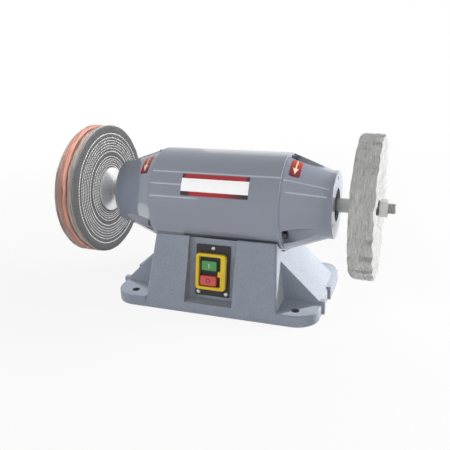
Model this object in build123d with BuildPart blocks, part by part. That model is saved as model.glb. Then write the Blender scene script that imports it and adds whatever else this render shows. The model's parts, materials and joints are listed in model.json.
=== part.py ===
from build123d import *
import os
from math import cos, radians, sin, tan

os.makedirs("parts", exist_ok=True)

# A double-ended bench polisher, in millimetres. X runs along the spindle, -Y faces the
# user and Z is up. The origin is on the bench, under the middle of the base.

# Clearances
RUN_GAP = 0.35
SLIDE_GAP = 0.3
SEAT_GAP = 0.03
PASS_GAP = 0.3

# Spindle and its two clamping stacks
AXIS_H = 147.0
SPINDLE_D = 20.0
SHOULDER_STEP = 2.0
ROTOR_SEAT_D = 28.0
THREAD_D = 14.0
FREE_END_D = 13.6
FREE_END_L = 10.0
FREE_END_CHAMFER = 1.2
NECK_L = 25.1
INNER_FLANGE_T = 10.0
INNER_FLANGE_RIM_T = 3.0
INNER_FLANGE_NECK_D = 30.0
OUTER_FLANGE_T = 3.0
FLANGE_D = 68.0
FLANGE_RELIEF_D = 50.0
FLANGE_RELIEF_T = 1.0
LOCK_WASHER_D = 21.0
LOCK_WASHER_T = 4.0
LOCK_WASHER_SPLIT = 2.0
NUT_AF = 22.0
NUT_T = 11.0
NUT_CHAMFER = 1.4

# Wheels
WHEEL_D = 200.0
WHEEL_HUB_T = 15.5
WHEEL_POCKET_GAP = 2.0
LEFT_RIM_T = 33.5
LEFT_EDGE_CHAMFER = 1.0
RIGHT_RIM_T = 31.0
RIGHT_RIM_INSET = 7.5
RIGHT_EDGE_CHAMFER = 4.0
RIGHT_DISH_D = 120.0

# Motor barrel
BARREL_D = 140.4
BARREL_L = 190.6
BARREL_WALL = 6.2
BARREL_ROUND = 1.4
BOSS_D = 16.0
BOSS_L = 18.0
FOOT_L = 120.0
FOOT_W = 64.0
FOOT_DROP = 75.0
WIRE_HOLE_D = 9.0

# End caps
CAP_L = 67.1
CAP_RIM_D = 137.6
CAP_RIM_T = 3.0
NOSE_D = 96.4
NOSE_STRAIGHT = 8.0
NOSE_ROUND = 1.2
SPIGOT_L = 4.0
SPIGOT_WALL = 8.0
CAP_WALL = 5.0
CAP_HUB_WALL = 6.0
POCKET_D = 26.5
POCKET_SHIFT = 3.0
CAP_SCREW_COUNT = 3
FIRST_SCREW_ANGLE = 90.0
CAP_SCREW_CIRCLE_R = 62.0
CAP_SCREW_D = 6.0
CAP_SCREW_GRIP = 14.0
CAP_SCREW_HEAD_D = 10.5
CAP_SCREW_HEAD_H = 6.0
CAP_SCREW_KEY_AF = 5.0
CAP_SCREW_KEY_DEPTH = 3.0
GUARD_HOLE_CIRCLE_R = 38.5
GUARD_HOLE_D = 6.0
GUARD_HOLE_DEPTH = 9.0

# Bearings and seals
BEARING_D = 47.0
BEARING_W = 14.0
RACE_T = 4.4
BALL_D = 7.6
BALL_COUNT = 8
CAGE_W = 9.6
CAGE_T = 1.6
CAGE_GAP = 0.1
SHIELD_T = 0.8
LIP_T = 3.0
LIP_REACH = 3.0
WAVE_SPRING_T = 1.5
WAVE_SPRING_W = 2.6
SEAL_DEPTH = 9.4
SEAL_T = 7.0

# Motor inside
STATOR_L = 80.0
STATOR_BORE_D = 76.0
SLOT_COUNT = 24
SLOT_DEPTH = 15.0
SLOT_W = 5.0
SLOT_ROOF = 2.0
WINDING_REACH = 26.0
WINDING_NECK = 6.5
WINDING_GAP = 0.2
AIR_GAP = 0.4
ROTOR_L = 84.0
END_RING_T = 8.0
END_RING_WALL = 12.0

# Base casting
BASE_L = 306.6
BASE_W = 194.0
BASE_CORNER_R = 33.0
BASE_REAR_CORNER_R = 22.0
PLINTH_T = 16.5
PLINTH_ROUND = 2.5
COLUMN_TOP_L = 182.8
COLUMN_TOP_W = 122.2
COLUMN_TOP_DROP = 43.7
COLUMN_ROOT = 7.0
COLUMN_ROUND = 4.0
FRONT_SLOPE = 20.35
SIDE_DRAFT = 4.9
WALL = 7.0
DECK_T = 8.0
SADDLE_GAP = 2.3
BUTTRESS_W = 99.0
BUTTRESS_ANGLE = 44.4
PAD_OUT = 4.0
PAD_H = 20.0
FRONT_PAD = (-49.5, -41.5)
REAR_PAD = (-1.0, 64.0)
MOUNT_PITCH_X = 244.4
MOUNT_PITCH_Y = 159.0
MOUNT_HOLE_D = 11.0

# Bolts that hold the barrel on the deck
HOUSING_BOLT_D = 8.0
HOUSING_BOLT_PITCH_X = 90.0
HOUSING_BOLT_PITCH_Y = 40.0
HOUSING_BOLT_GRIP = 9.0
HOUSING_BOLT_AF = 13.0
HOUSING_BOLT_HEAD_H = 5.3
WASHER_D = 16.0
WASHER_T = 1.6

# Bottom cover
COVER_RECESS = 4.0
COVER_T = 1.5
COVER_GAP = 0.5
COVER_LUG = 16.0
COVER_LUG_H = 16.0
COVER_SCREW_D = 4.0
COVER_SCREW_L = 10.0
COVER_SCREW_HEAD_D = 7.0
COVER_SCREW_HEAD_H = 2.5

# Switch, in the tilted recess at the front
SWITCH_X = -2.0
RECESS_W = 72.0
RECESS_TOP_DEPTH = 5.7
RECESS_FLOOR_Z = 14.5
PANEL_TILT = 11.5
PANEL_WALL = 6.0
PLATE_W = 52.0
PLATE_H = 75.0
PLATE_T = 1.5
PLATE_LIFT = 2.2
PLATE_CORNER_R = 2.0
PLATE_SCREW_D = 4.0
PLATE_SCREW_L = 6.5
PLATE_SCREW_HEAD_D = 6.4
PLATE_SCREW_HEAD_H = 2.2
PLATE_SCREW_EDGE = 5.0
FRAME_W = 45.5
FRAME_H = 52.8
FRAME_T = 7.5
FRAME_CORNER_R = 5.0
FRAME_U = -1.0
FRAME_V = -1.0
FRAME_OPENING_W = 32.6
FRAME_OPENING_H = 43.6
FRAME_OPENING_SHIFT = -1.5
FRAME_OPENING_R = 2.0
FRAME_TAB_W = 4.0
FRAME_TAB_H = 8.0
FRAME_TAB_V = -2.4
SWITCH_BODY_W = 40.0
SWITCH_BODY_H = 50.0
SWITCH_BODY_D = 26.0
SWITCH_ROOM = 2.0
SWITCH_FACE_T = 5.0
BUTTON_SHIFT = -3.4
BUTTON_LIP = 1.6
BUTTON_LIP_T = 1.6
BUTTON_WELL_D = 9.0
BUTTON_CORNER_R = 1.2
START_BUTTON = (22.6, 14.0)
START_BUTTON_V = 8.4
START_BUTTON_OUT = 4.5
STOP_BUTTON = (24.0, 13.6)
STOP_BUTTON_V = -13.0
STOP_BUTTON_OUT = 7.0
BUTTON_SPRING_D = 9.0
BUTTON_SPRING_WIRE = 0.8
BUTTON_SPRING_TURNS = 3.5

# Electrics inside the base
CAPACITOR_D = 35.0
CAPACITOR_L = 70.0
CAPACITOR_Y = 42.0
CAPACITOR_STUD_D = 6.0
CAPACITOR_STUD_L = 8.0
CLIP_T = 1.5
CLIP_W = 22.0
CLIP_EAR = 16.0
CLIP_SCREW_D = 4.0
CLIP_SCREW_L = 6.0
CLIP_SCREW_HEAD_D = 7.0
CLIP_SCREW_HEAD_H = 2.4
TERMINAL_L = 42.0
TERMINAL_W = 18.0
TERMINAL_H = 13.0
TERMINAL_X = 62.0
TERMINAL_Y = -10.0
TERMINAL_WAYS = 3
TERMINAL_WAY_D = 6.0
GLAND_X = -55.0
GLAND_Z = 38.0
GLAND_SINK = 6.4
GLAND_THREAD_D = 16.0
GLAND_THREAD_L = 20.0
GLAND_BOSS_D = 32.0
GLAND_BOSS_L = 10.0
GLAND_FLANGE_AF = 22.0
GLAND_FLANGE_T = 5.0
GLAND_DOME_D = 20.0
GLAND_DOME_L = 11.0
GLAND_CORD_D = 8.0
GLAND_NUT_AF = 22.0
GLAND_NUT_T = 5.0

# Stickers
NAME_PLATE_L = 98.5
NAME_PLATE_X = 3.5
NAME_PLATE_T = 0.6
NAME_PLATE_LOW = 16.0
NAME_PLATE_HIGH = 41.5
FRONT_ANGLE = 180.0
ARROW_LABEL_INSET = 4.9
ARROW_LABEL_W = 14.0
ARROW_LABEL_T = 0.4
ARROW_LABEL_SPAN = 28.5
RIGHT_ARROW_HIGH = 77.0
LEFT_ARROW_HIGH = 69.0

# Places along the spindle, counted outwards from the middle
BARREL_END = BARREL_L / 2
RIM_X = BARREL_END + CAP_RIM_T
NOSE_X = BARREL_END + CAP_L
LIP_OUT_X = NOSE_X - SEAL_DEPTH
LIP_IN_X = LIP_OUT_X - LIP_T
LEFT_BEARING_X = LIP_IN_X
RIGHT_BEARING_X = LIP_IN_X - WAVE_SPRING_T
SHOULDER_X = NOSE_X + NECK_L
HUB_X = SHOULDER_X + INNER_FLANGE_T
OUTER_FLANGE_X = HUB_X + WHEEL_HUB_T
LOCK_WASHER_X = OUTER_FLANGE_X + OUTER_FLANGE_T
NUT_X = LOCK_WASHER_X + LOCK_WASHER_T
FREE_END_X = NUT_X + NUT_T
SPINDLE_END_X = FREE_END_X + FREE_END_L

# Radii from the sizes above
BARREL_R = BARREL_D / 2
BARREL_INSIDE_R = BARREL_R - BARREL_WALL
POCKET_R = POCKET_D / 2
POCKET_CENTRE_R = CAP_SCREW_CIRCLE_R + POCKET_SHIFT
POCKET_FLOOR_R = POCKET_CENTRE_R - POCKET_R
BALL_CIRCLE_R = (SPINDLE_D + BEARING_D) / 4
RUNNING_R = SPINDLE_D / 2 + RUN_GAP

# Heights in the base
COLUMN_TOP_Z = AXIS_H - COLUMN_TOP_DROP
COLUMN_ROOT_Z = PLINTH_T - COLUMN_ROOT
DECK_TOP_Z = AXIS_H - FOOT_DROP
DECK_LOW_Z = DECK_TOP_Z - DECK_T
COVER_TOP_Z = COVER_RECESS + COVER_T
SIDES = (("left", -1), ("right", 1))

SPIN_AXIS = Axis((0, 0, AXIS_H), (1, 0, 0))
SPIN = Plane(origin=(0, 0, AXIS_H), x_dir=(1, 0, 0), z_dir=(0, -1, 0))


def across(x):
    """The plane square to the spindle at x, with the spindle at its origin."""
    return Plane(origin=(x, 0, AXIS_H), x_dir=(0, 1, 0), z_dir=(1, 0, 0))


def column_half_x(z):
    """Half length of the column at height z."""
    return COLUMN_TOP_L / 2 + (COLUMN_TOP_Z - z) * tan(radians(SIDE_DRAFT))


def column_half_y(z):
    """Half depth of the column at height z."""
    return COLUMN_TOP_W / 2 + (COLUMN_TOP_Z - z) * tan(radians(FRONT_SLOPE))


def panel_y(z):
    """Where the back of the switch recess lies at height z."""
    return RECESS_TOP_DEPTH - COLUMN_TOP_W / 2 - (COLUMN_TOP_Z - z) * tan(radians(PANEL_TILT))


def cap_cone_r(x):
    """Outer radius of an end cap's cone at x, between its rim and its nose."""
    share = (x - RIM_X) / (NOSE_X - NOSE_STRAIGHT - RIM_X)
    return CAP_RIM_D / 2 + share * (NOSE_D - CAP_RIM_D) / 2


def ring_edges(piece, x, r):
    """The circular edges of a turned piece at x with radius r."""
    rings = piece.edges().filter_by(GeomType.CIRCLE)
    return rings.filter_by(lambda e: abs(e.arc_center.X - x) < 0.01 and abs(e.radius - r) < 0.01)


def turned(profile, side=1):
    """A piece turned about the spindle from (x, radius) points, mirrored for side -1."""
    with BuildPart() as piece:
        with BuildSketch(SPIN):
            with BuildLine():
                Polyline(*[(side * x, r) for x, r in profile], close=True)
            make_face()
        revolve(axis=SPIN_AXIS)
    return piece


def save(piece, name):
    """Label a piece and write its file."""
    piece.part.label = name
    export_step(piece.part, f"parts/{name}.step")


# Base casting

PLATE_Z = PLINTH_T + PLATE_LIFT + PLATE_H / 2 * cos(radians(PANEL_TILT))
PANEL = Plane(
    origin=(SWITCH_X, panel_y(PLATE_Z), PLATE_Z),
    x_dir=(1, 0, 0),
    z_dir=(0, -cos(radians(PANEL_TILT)), sin(radians(PANEL_TILT))),
)
PANEL_OUT = Axis(PANEL.origin, PANEL.z_dir)
GLAND_FACE_Y = column_half_y(GLAND_Z) - GLAND_SINK
GLAND_PLANE = Plane(origin=(GLAND_X, GLAND_FACE_Y, GLAND_Z), x_dir=(1, 0, 0), z_dir=(0, 1, 0))
CAVITY_X = column_half_x(PLINTH_T) - WALL
CAVITY_Y = column_half_y(PLINTH_T) - WALL
COVER_SCREW_SPOTS = GridLocations(2 * CAVITY_X - COVER_LUG, 2 * CAVITY_Y - COVER_LUG, 2, 2)
SWITCH_NOTCH_W = SWITCH_BODY_W + 2 * SWITCH_ROOM
SWITCH_BACK = PANEL.from_local_coords((FRAME_U, FRAME_V + SWITCH_BODY_H / 2, PLATE_T - SWITCH_BODY_D))
SWITCH_NOTCH_Y = SWITCH_BACK.Y + SWITCH_ROOM
CLIP_R = CAPACITOR_D / 2 + SEAT_GAP
CLIP_SCREW_Y = CAPACITOR_Y - CLIP_R - CLIP_T - CLIP_EAR / 2
BEYOND = 2 * BASE_W

# The hollow of the casting, with the solids that stand inside it left out
with BuildPart() as hollow:
    with BuildSketch():
        Rectangle(2 * CAVITY_X, 2 * CAVITY_Y)
    extrude(amount=PLINTH_T)
    for low, high in ((PLINTH_T, DECK_LOW_Z), (DECK_TOP_Z, COLUMN_TOP_Z)):
        with BuildSketch(Plane.XY.offset(low)):
            Rectangle(2 * (column_half_x(low) - WALL), 2 * (column_half_y(low) - WALL))
        with BuildSketch(Plane.XY.offset(high)):
            Rectangle(2 * (column_half_x(high) - WALL), 2 * (column_half_y(high) - WALL))
        loft()
    # Room for the switch body at the front edge of the deck
    with BuildSketch(Plane.XY.offset(DECK_LOW_Z)):
        with Locations((SWITCH_BACK.X, SWITCH_NOTCH_Y)):
            notch = (SWITCH_NOTCH_W, column_half_y(DECK_TOP_Z) - WALL + SWITCH_NOTCH_Y)
            Rectangle(*notch, align=(Align.CENTER, Align.MAX))
    extrude(amount=DECK_T)
    # Corner lugs for the bottom cover
    with BuildSketch(Plane.XY.offset(COVER_TOP_Z)):
        with COVER_SCREW_SPOTS:
            Rectangle(COVER_LUG, COVER_LUG)
    extrude(amount=COVER_LUG_H, mode=Mode.SUBTRACT)
    # Boss behind the cable gland
    with BuildSketch(GLAND_PLANE.offset(-GLAND_BOSS_L)):
        Circle(GLAND_BOSS_D / 2)
    extrude(amount=GLAND_BOSS_L + WALL, mode=Mode.SUBTRACT)
    # Walls and floor of the switch recess
    with BuildSketch(Plane.YZ.offset(SWITCH_X)):
        with BuildLine():
            low, high = RECESS_FLOOR_Z - WALL, COLUMN_TOP_Z + WALL
            inside = PANEL_WALL / cos(radians(PANEL_TILT))
            Polyline(
                (-BEYOND, low),
                (panel_y(low) + inside, low),
                (panel_y(high) + inside, high),
                (-BEYOND, high),
                close=True,
            )
        make_face()
    extrude(amount=RECESS_W / 2 + WALL, both=True, mode=Mode.SUBTRACT)

# The column, with its four upright edges rounded
with BuildPart() as column:
    with BuildSketch(Plane.XY.offset(COLUMN_ROOT_Z)):
        Rectangle(2 * column_half_x(COLUMN_ROOT_Z), 2 * column_half_y(COLUMN_ROOT_Z))
    with BuildSketch(Plane.XY.offset(COLUMN_TOP_Z)):
        Rectangle(COLUMN_TOP_L, COLUMN_TOP_W)
    loft()
    fillet(column.edges().filter_by(lambda e: abs((e % 0.5).Z) > 0.5), COLUMN_ROUND)

with BuildPart() as base_casting:
    # Plinth
    with BuildSketch() as plinth:
        Rectangle(BASE_L, BASE_W)
        fillet(plinth.vertices().group_by(Axis.Y)[0], BASE_CORNER_R)
        fillet(plinth.vertices().group_by(Axis.Y)[-1], BASE_REAR_CORNER_R)
    extrude(amount=PLINTH_T)
    fillet(base_casting.faces().sort_by(Axis.Z)[-1].edges(), PLINTH_ROUND)
    # Buttress at each end
    with BuildSketch(Plane.XZ):
        with BuildLine():
            rise = (BASE_L - COLUMN_TOP_L) / 2 * tan(radians(BUTTRESS_ANGLE))
            Polyline(
                (-BASE_L / 2, 0),
                (-BASE_L / 2, PLINTH_T),
                (-COLUMN_TOP_L / 2, PLINTH_T + rise),
                (COLUMN_TOP_L / 2, PLINTH_T + rise),
                (BASE_L / 2, PLINTH_T),
                (BASE_L / 2, 0),
                close=True,
            )
        make_face()
    extrude(amount=BUTTRESS_W / 2, both=True)
    add(column.part)
    # The front and the back run down to the foot of the plinth without a ledge
    with BuildSketch(Plane.YZ):
        with BuildLine():
            foot_z = COLUMN_TOP_Z - (BASE_W - COLUMN_TOP_W) / 2 / tan(radians(FRONT_SLOPE))
            Polyline(
                (-BASE_W / 2, foot_z),
                (-column_half_y(PLINTH_T), PLINTH_T),
                (-BASE_W / 2, PLINTH_T),
                close=True,
            )
        make_face()
        mirror(about=Plane.YZ)
    extrude(amount=column_half_x(PLINTH_T), both=True, mode=Mode.SUBTRACT)
    # Pads that stand out at both ends
    with BuildSketch():
        for low, high in (FRONT_PAD, REAR_PAD):
            with Locations((0, (low + high) / 2)):
                with GridLocations(BASE_L, BASE_W, 2, 1):
                    Rectangle(2 * PAD_OUT, high - low)
    extrude(amount=PAD_H)
    # Saddle round the barrel
    with BuildSketch(across(0)):
        Circle(BARREL_R + SADDLE_GAP)
    extrude(amount=BASE_L / 2, both=True, mode=Mode.SUBTRACT)
    # Hollow inside, and a pocket under each buttress
    add(hollow.part, mode=Mode.SUBTRACT)
    with BuildSketch(Plane.XZ):
        with BuildLine():
            inner_x = column_half_x(0)
            outer_x = BASE_L / 2 - WALL - PLINTH_ROUND
            drop = WALL / cos(radians(BUTTRESS_ANGLE))
            slope = tan(radians(BUTTRESS_ANGLE))
            Polyline(
                (inner_x, 0),
                (outer_x, 0),
                (outer_x, PLINTH_T - drop + (BASE_L / 2 - outer_x) * slope),
                (inner_x, PLINTH_T - drop + (BASE_L / 2 - inner_x) * slope),
                close=True,
            )
        make_face()
        mirror(about=Plane.YZ)
    extrude(amount=BUTTRESS_W / 2 - WALL, both=True, mode=Mode.SUBTRACT)
    # Switch recess, open towards the barrel, with its opening for the switch body
    with BuildSketch(Plane.YZ.offset(SWITCH_X)):
        with BuildLine():
            Polyline(
                (-BEYOND, RECESS_FLOOR_Z),
                (panel_y(RECESS_FLOOR_Z), RECESS_FLOOR_Z),
                (panel_y(COLUMN_TOP_Z), COLUMN_TOP_Z),
                (-BEYOND, COLUMN_TOP_Z),
                close=True,
            )
        make_face()
    extrude(amount=RECESS_W / 2, both=True, mode=Mode.SUBTRACT)
    with BuildSketch(PANEL):
        with Locations((FRAME_U, FRAME_V)):
            Rectangle(SWITCH_BODY_W + 2 * PASS_GAP, SWITCH_BODY_H + 2 * PASS_GAP)
    extrude(amount=-2 * PANEL_WALL, mode=Mode.SUBTRACT)
    plate_screw_spots = (
        (0, PLATE_H / 2 - PLATE_SCREW_EDGE),
        (PLATE_SCREW_EDGE - PLATE_W / 2, PLATE_SCREW_EDGE - PLATE_H / 2),
        (PLATE_W / 2 - PLATE_SCREW_EDGE, PLATE_SCREW_EDGE - PLATE_H / 2),
    )
    with BuildSketch(PANEL):
        with Locations(*plate_screw_spots):
            Circle(PLATE_SCREW_D / 2 + SEAT_GAP)
    extrude(amount=PLATE_T - PLATE_SCREW_L, mode=Mode.SUBTRACT)
    # Bench holes
    with BuildSketch():
        with GridLocations(MOUNT_PITCH_X, MOUNT_PITCH_Y, 2, 2):
            Circle(MOUNT_HOLE_D / 2)
    extrude(amount=PLINTH_T, mode=Mode.SUBTRACT)
    # Holes for the housing bolts and for the motor's wires
    with BuildSketch(Plane.XY.offset(DECK_LOW_Z)):
        with GridLocations(HOUSING_BOLT_PITCH_X, HOUSING_BOLT_PITCH_Y, 2, 2):
            Circle(HOUSING_BOLT_D / 2 + PASS_GAP)
        with Locations((STATOR_L / 2 + WINDING_REACH + WIRE_HOLE_D / 2, 0)):
            Circle(WIRE_HOLE_D / 2)
    extrude(amount=DECK_T, mode=Mode.SUBTRACT)
    # Thread for the capacitor's clip
    with BuildSketch(Plane.XY.offset(DECK_LOW_Z)):
        with Locations((0, CLIP_SCREW_Y)):
            Circle(CLIP_SCREW_D / 2 + SEAT_GAP)
    extrude(amount=CLIP_SCREW_L - CLIP_T, mode=Mode.SUBTRACT)
    # Threads for the bottom cover
    with BuildSketch(Plane.XY.offset(COVER_TOP_Z)):
        with COVER_SCREW_SPOTS:
            Circle(COVER_SCREW_D / 2 + SEAT_GAP)
    extrude(amount=COVER_SCREW_L - COVER_T, mode=Mode.SUBTRACT)
    # Spot face and hole for the cable gland
    with BuildSketch(GLAND_PLANE):
        Circle(GLAND_BOSS_D / 2)
    extrude(amount=BASE_W / 2, mode=Mode.SUBTRACT)
    with BuildSketch(GLAND_PLANE):
        Circle(GLAND_THREAD_D / 2 + SEAT_GAP)
    extrude(amount=-2 * GLAND_BOSS_L, mode=Mode.SUBTRACT)
save(base_casting, "base_casting")

with BuildPart() as bottom_cover:
    with BuildSketch(Plane.XY.offset(COVER_RECESS)):
        Rectangle(2 * (CAVITY_X - COVER_GAP), 2 * (CAVITY_Y - COVER_GAP))
        with COVER_SCREW_SPOTS:
            Circle(COVER_SCREW_D / 2 + PASS_GAP, mode=Mode.SUBTRACT)
    extrude(amount=COVER_T)
save(bottom_cover, "bottom_cover")

with BuildPart() as bottom_cover_screws:
    with BuildSketch(Plane.XY.offset(COVER_RECESS)):
        with COVER_SCREW_SPOTS:
            Circle(COVER_SCREW_HEAD_D / 2)
    extrude(amount=-COVER_SCREW_HEAD_H)
    with BuildSketch(Plane.XY.offset(COVER_RECESS)):
        with COVER_SCREW_SPOTS:
            Circle(COVER_SCREW_D / 2)
    extrude(amount=COVER_SCREW_L)
save(bottom_cover_screws, "bottom_cover_screws")

# Motor barrel with bosses for the cap screws and a foot on the deck

with BuildPart() as motor_housing:
    with BuildSketch(across(0)):
        Circle(BARREL_R)
    extrude(amount=BARREL_END, both=True)
    with BuildSketch(Plane.XY.offset(DECK_TOP_Z)):
        Rectangle(FOOT_L, FOOT_W)
    extrude(amount=FOOT_DROP - BARREL_INSIDE_R)
    with BuildSketch(across(0)):
        Circle(BARREL_INSIDE_R)
    extrude(amount=BARREL_END, both=True, mode=Mode.SUBTRACT)
    for name, side in SIDES:
        with BuildSketch(across(side * BARREL_END)):
            with PolarLocations(CAP_SCREW_CIRCLE_R, CAP_SCREW_COUNT, start_angle=FIRST_SCREW_ANGLE):
                Circle(BOSS_D / 2)
        extrude(amount=-side * BOSS_L)
        with BuildSketch(across(side * BARREL_END)):
            with PolarLocations(CAP_SCREW_CIRCLE_R, CAP_SCREW_COUNT, start_angle=FIRST_SCREW_ANGLE):
                Circle(CAP_SCREW_D / 2 + SEAT_GAP)
        extrude(amount=-side * CAP_SCREW_GRIP, mode=Mode.SUBTRACT)
    with BuildSketch(Plane.XY.offset(DECK_TOP_Z)):
        with GridLocations(HOUSING_BOLT_PITCH_X, HOUSING_BOLT_PITCH_Y, 2, 2):
            Circle(HOUSING_BOLT_D / 2 + SEAT_GAP)
    extrude(amount=HOUSING_BOLT_GRIP, mode=Mode.SUBTRACT)
    with BuildSketch(Plane.XY.offset(DECK_TOP_Z)):
        with Locations((STATOR_L / 2 + WINDING_REACH + WIRE_HOLE_D / 2, 0)):
            Circle(WIRE_HOLE_D / 2)
    extrude(amount=FOOT_DROP - BARREL_INSIDE_R + BARREL_WALL, mode=Mode.SUBTRACT)
    for name, side in SIDES:
        fillet(ring_edges(motor_housing, side * BARREL_END, BARREL_R), BARREL_ROUND)
save(motor_housing, "motor_housing")

with BuildPart() as housing_bolts:
    with BuildSketch(Plane.XY.offset(DECK_LOW_Z - WASHER_T)):
        with GridLocations(HOUSING_BOLT_PITCH_X, HOUSING_BOLT_PITCH_Y, 2, 2):
            RegularPolygon(HOUSING_BOLT_AF / 2, 6, major_radius=False)
    extrude(amount=-HOUSING_BOLT_HEAD_H)
    with BuildSketch(Plane.XY.offset(DECK_LOW_Z - WASHER_T)):
        with GridLocations(HOUSING_BOLT_PITCH_X, HOUSING_BOLT_PITCH_Y, 2, 2):
            Circle(HOUSING_BOLT_D / 2)
    extrude(amount=WASHER_T + DECK_T + HOUSING_BOLT_GRIP)
save(housing_bolts, "housing_bolts")

with BuildPart() as housing_washers:
    with BuildSketch(Plane.XY.offset(DECK_LOW_Z)):
        with GridLocations(HOUSING_BOLT_PITCH_X, HOUSING_BOLT_PITCH_Y, 2, 2):
            Circle(WASHER_D / 2)
            Circle(HOUSING_BOLT_D / 2 + PASS_GAP, mode=Mode.SUBTRACT)
    extrude(amount=-WASHER_T)
save(housing_washers, "housing_washers")

# End caps with their screws, seals and stickers

BEARING_SEAT_R = BEARING_D / 2 + SEAT_GAP
CAP_HUB_X = RIGHT_BEARING_X - BEARING_W - WAVE_SPRING_T
CAP_HUB_R = BEARING_SEAT_R + CAP_HUB_WALL
SPIGOT_R = BARREL_INSIDE_R - SEAT_GAP
CAP_CAVITY_R = POCKET_FLOOR_R - CAP_WALL
CAP_PROFILE = (
    (BARREL_END - SPIGOT_L, SPIGOT_R - SPIGOT_WALL),
    (BARREL_END - SPIGOT_L, SPIGOT_R),
    (BARREL_END, SPIGOT_R),
    (BARREL_END, CAP_RIM_D / 2),
    (RIM_X, CAP_RIM_D / 2),
    (NOSE_X - NOSE_STRAIGHT, NOSE_D / 2),
    (NOSE_X, NOSE_D / 2),
    (NOSE_X, BEARING_SEAT_R),
    (LIP_OUT_X, BEARING_SEAT_R),
    (LIP_OUT_X, BEARING_SEAT_R - LIP_REACH),
    (LIP_IN_X, BEARING_SEAT_R - LIP_REACH),
    (LIP_IN_X, BEARING_SEAT_R),
    (CAP_HUB_X, BEARING_SEAT_R),
    (CAP_HUB_X, CAP_HUB_R),
    (RIM_X, CAP_CAVITY_R),
    (BARREL_END, CAP_CAVITY_R),
)


def end_cap(side):
    """A cone with a rim against the barrel, scooped round each of its screws."""
    with BuildPart() as cap:
        with BuildSketch(SPIN):
            with BuildLine():
                Polyline(*[(side * x, r) for x, r in CAP_PROFILE], close=True)
            make_face()
        revolve(axis=SPIN_AXIS)
        fillet(ring_edges(cap, side * NOSE_X, NOSE_D / 2), NOSE_ROUND)
        with BuildSketch(across(side * RIM_X)):
            with PolarLocations(POCKET_CENTRE_R, CAP_SCREW_COUNT, start_angle=FIRST_SCREW_ANGLE):
                Circle(POCKET_R)
        extrude(amount=side * CAP_L, mode=Mode.SUBTRACT)
        # Room for the barrel's bosses beside the spigot, then the screw holes
        with BuildSketch(across(side * BARREL_END)):
            with PolarLocations(CAP_SCREW_CIRCLE_R, CAP_SCREW_COUNT, start_angle=FIRST_SCREW_ANGLE):
                Circle(BOSS_D / 2 + PASS_GAP)
        extrude(amount=-side * SPIGOT_L, mode=Mode.SUBTRACT)
        with BuildSketch(across(side * BARREL_END)):
            with PolarLocations(CAP_SCREW_CIRCLE_R, CAP_SCREW_COUNT, start_angle=FIRST_SCREW_ANGLE):
                Circle(CAP_SCREW_D / 2 + PASS_GAP)
        extrude(amount=side * CAP_RIM_T, mode=Mode.SUBTRACT)
        # Threaded holes in the nose, for wheel guards
        with BuildSketch(across(side * NOSE_X)):
            with PolarLocations(GUARD_HOLE_CIRCLE_R, CAP_SCREW_COUNT, start_angle=FIRST_SCREW_ANGLE):
                Circle(GUARD_HOLE_D / 2)
        extrude(amount=-side * GUARD_HOLE_DEPTH, mode=Mode.SUBTRACT)
    return cap


def cap_screws(side):
    """Socket screws that hold one end cap on the barrel."""
    with BuildPart() as screws:
        with BuildSketch(across(side * RIM_X)):
            with PolarLocations(CAP_SCREW_CIRCLE_R, CAP_SCREW_COUNT, start_angle=FIRST_SCREW_ANGLE):
                Circle(CAP_SCREW_HEAD_D / 2)
        extrude(amount=side * CAP_SCREW_HEAD_H)
        with BuildSketch(across(side * (RIM_X + CAP_SCREW_HEAD_H))):
            with PolarLocations(CAP_SCREW_CIRCLE_R, CAP_SCREW_COUNT, start_angle=FIRST_SCREW_ANGLE):
                RegularPolygon(CAP_SCREW_KEY_AF / 2, 6, major_radius=False)
        extrude(amount=-side * CAP_SCREW_KEY_DEPTH, mode=Mode.SUBTRACT)
        with BuildSketch(across(side * RIM_X)):
            with PolarLocations(CAP_SCREW_CIRCLE_R, CAP_SCREW_COUNT, start_angle=FIRST_SCREW_ANGLE):
                Circle(CAP_SCREW_D / 2)
        extrude(amount=-side * (CAP_RIM_T + CAP_SCREW_GRIP))
    return screws


def arrow_label(side, high):
    """A thin sticker on the cone of one end cap, below the angle high."""
    near = RIM_X + ARROW_LABEL_INSET
    far = near + ARROW_LABEL_W
    start = radians(high)
    edge = Plane(origin=(0, 0, AXIS_H), x_dir=(1, 0, 0), z_dir=(0, -sin(start), -cos(start)))
    with BuildPart() as label:
        with BuildSketch(edge):
            with BuildLine():
                Polyline(
                    (side * near, cap_cone_r(near)),
                    (side * far, cap_cone_r(far)),
                    (side * far, cap_cone_r(far) + ARROW_LABEL_T),
                    (side * near, cap_cone_r(near) + ARROW_LABEL_T),
                    close=True,
                )
            make_face()
        revolve(axis=SPIN_AXIS, revolution_arc=ARROW_LABEL_SPAN)
    return label


SEAL_PROFILE = (
    (LIP_OUT_X, RUNNING_R),
    (LIP_OUT_X, BEARING_SEAT_R - SEAT_GAP),
    (LIP_OUT_X + SEAL_T, BEARING_SEAT_R - SEAT_GAP),
    (LIP_OUT_X + SEAL_T, RUNNING_R),
)
for name, side in SIDES:
    save(end_cap(side), f"{name}_end_cap")
    save(cap_screws(side), f"{name}_cap_screws")
    save(turned(SEAL_PROFILE, side), f"{name}_dust_seal")
save(arrow_label(-1, LEFT_ARROW_HIGH), "left_arrow_label")
save(arrow_label(1, RIGHT_ARROW_HIGH), "right_arrow_label")

with BuildPart() as name_plate:
    with BuildSketch(across(NAME_PLATE_X - NAME_PLATE_L / 2)):
        with BuildLine():
            plate_start = FRONT_ANGLE - NAME_PLATE_HIGH
            plate_span = NAME_PLATE_HIGH - NAME_PLATE_LOW
            inner = CenterArc((0, 0), BARREL_R, plate_start, plate_span)
            outer = CenterArc((0, 0), BARREL_R + NAME_PLATE_T, plate_start, plate_span)
            Line(inner @ 0, outer @ 0)
            Line(inner @ 1, outer @ 1)
        make_face()
    extrude(amount=NAME_PLATE_L)
save(name_plate, "name_plate")

# Bearings

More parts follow.
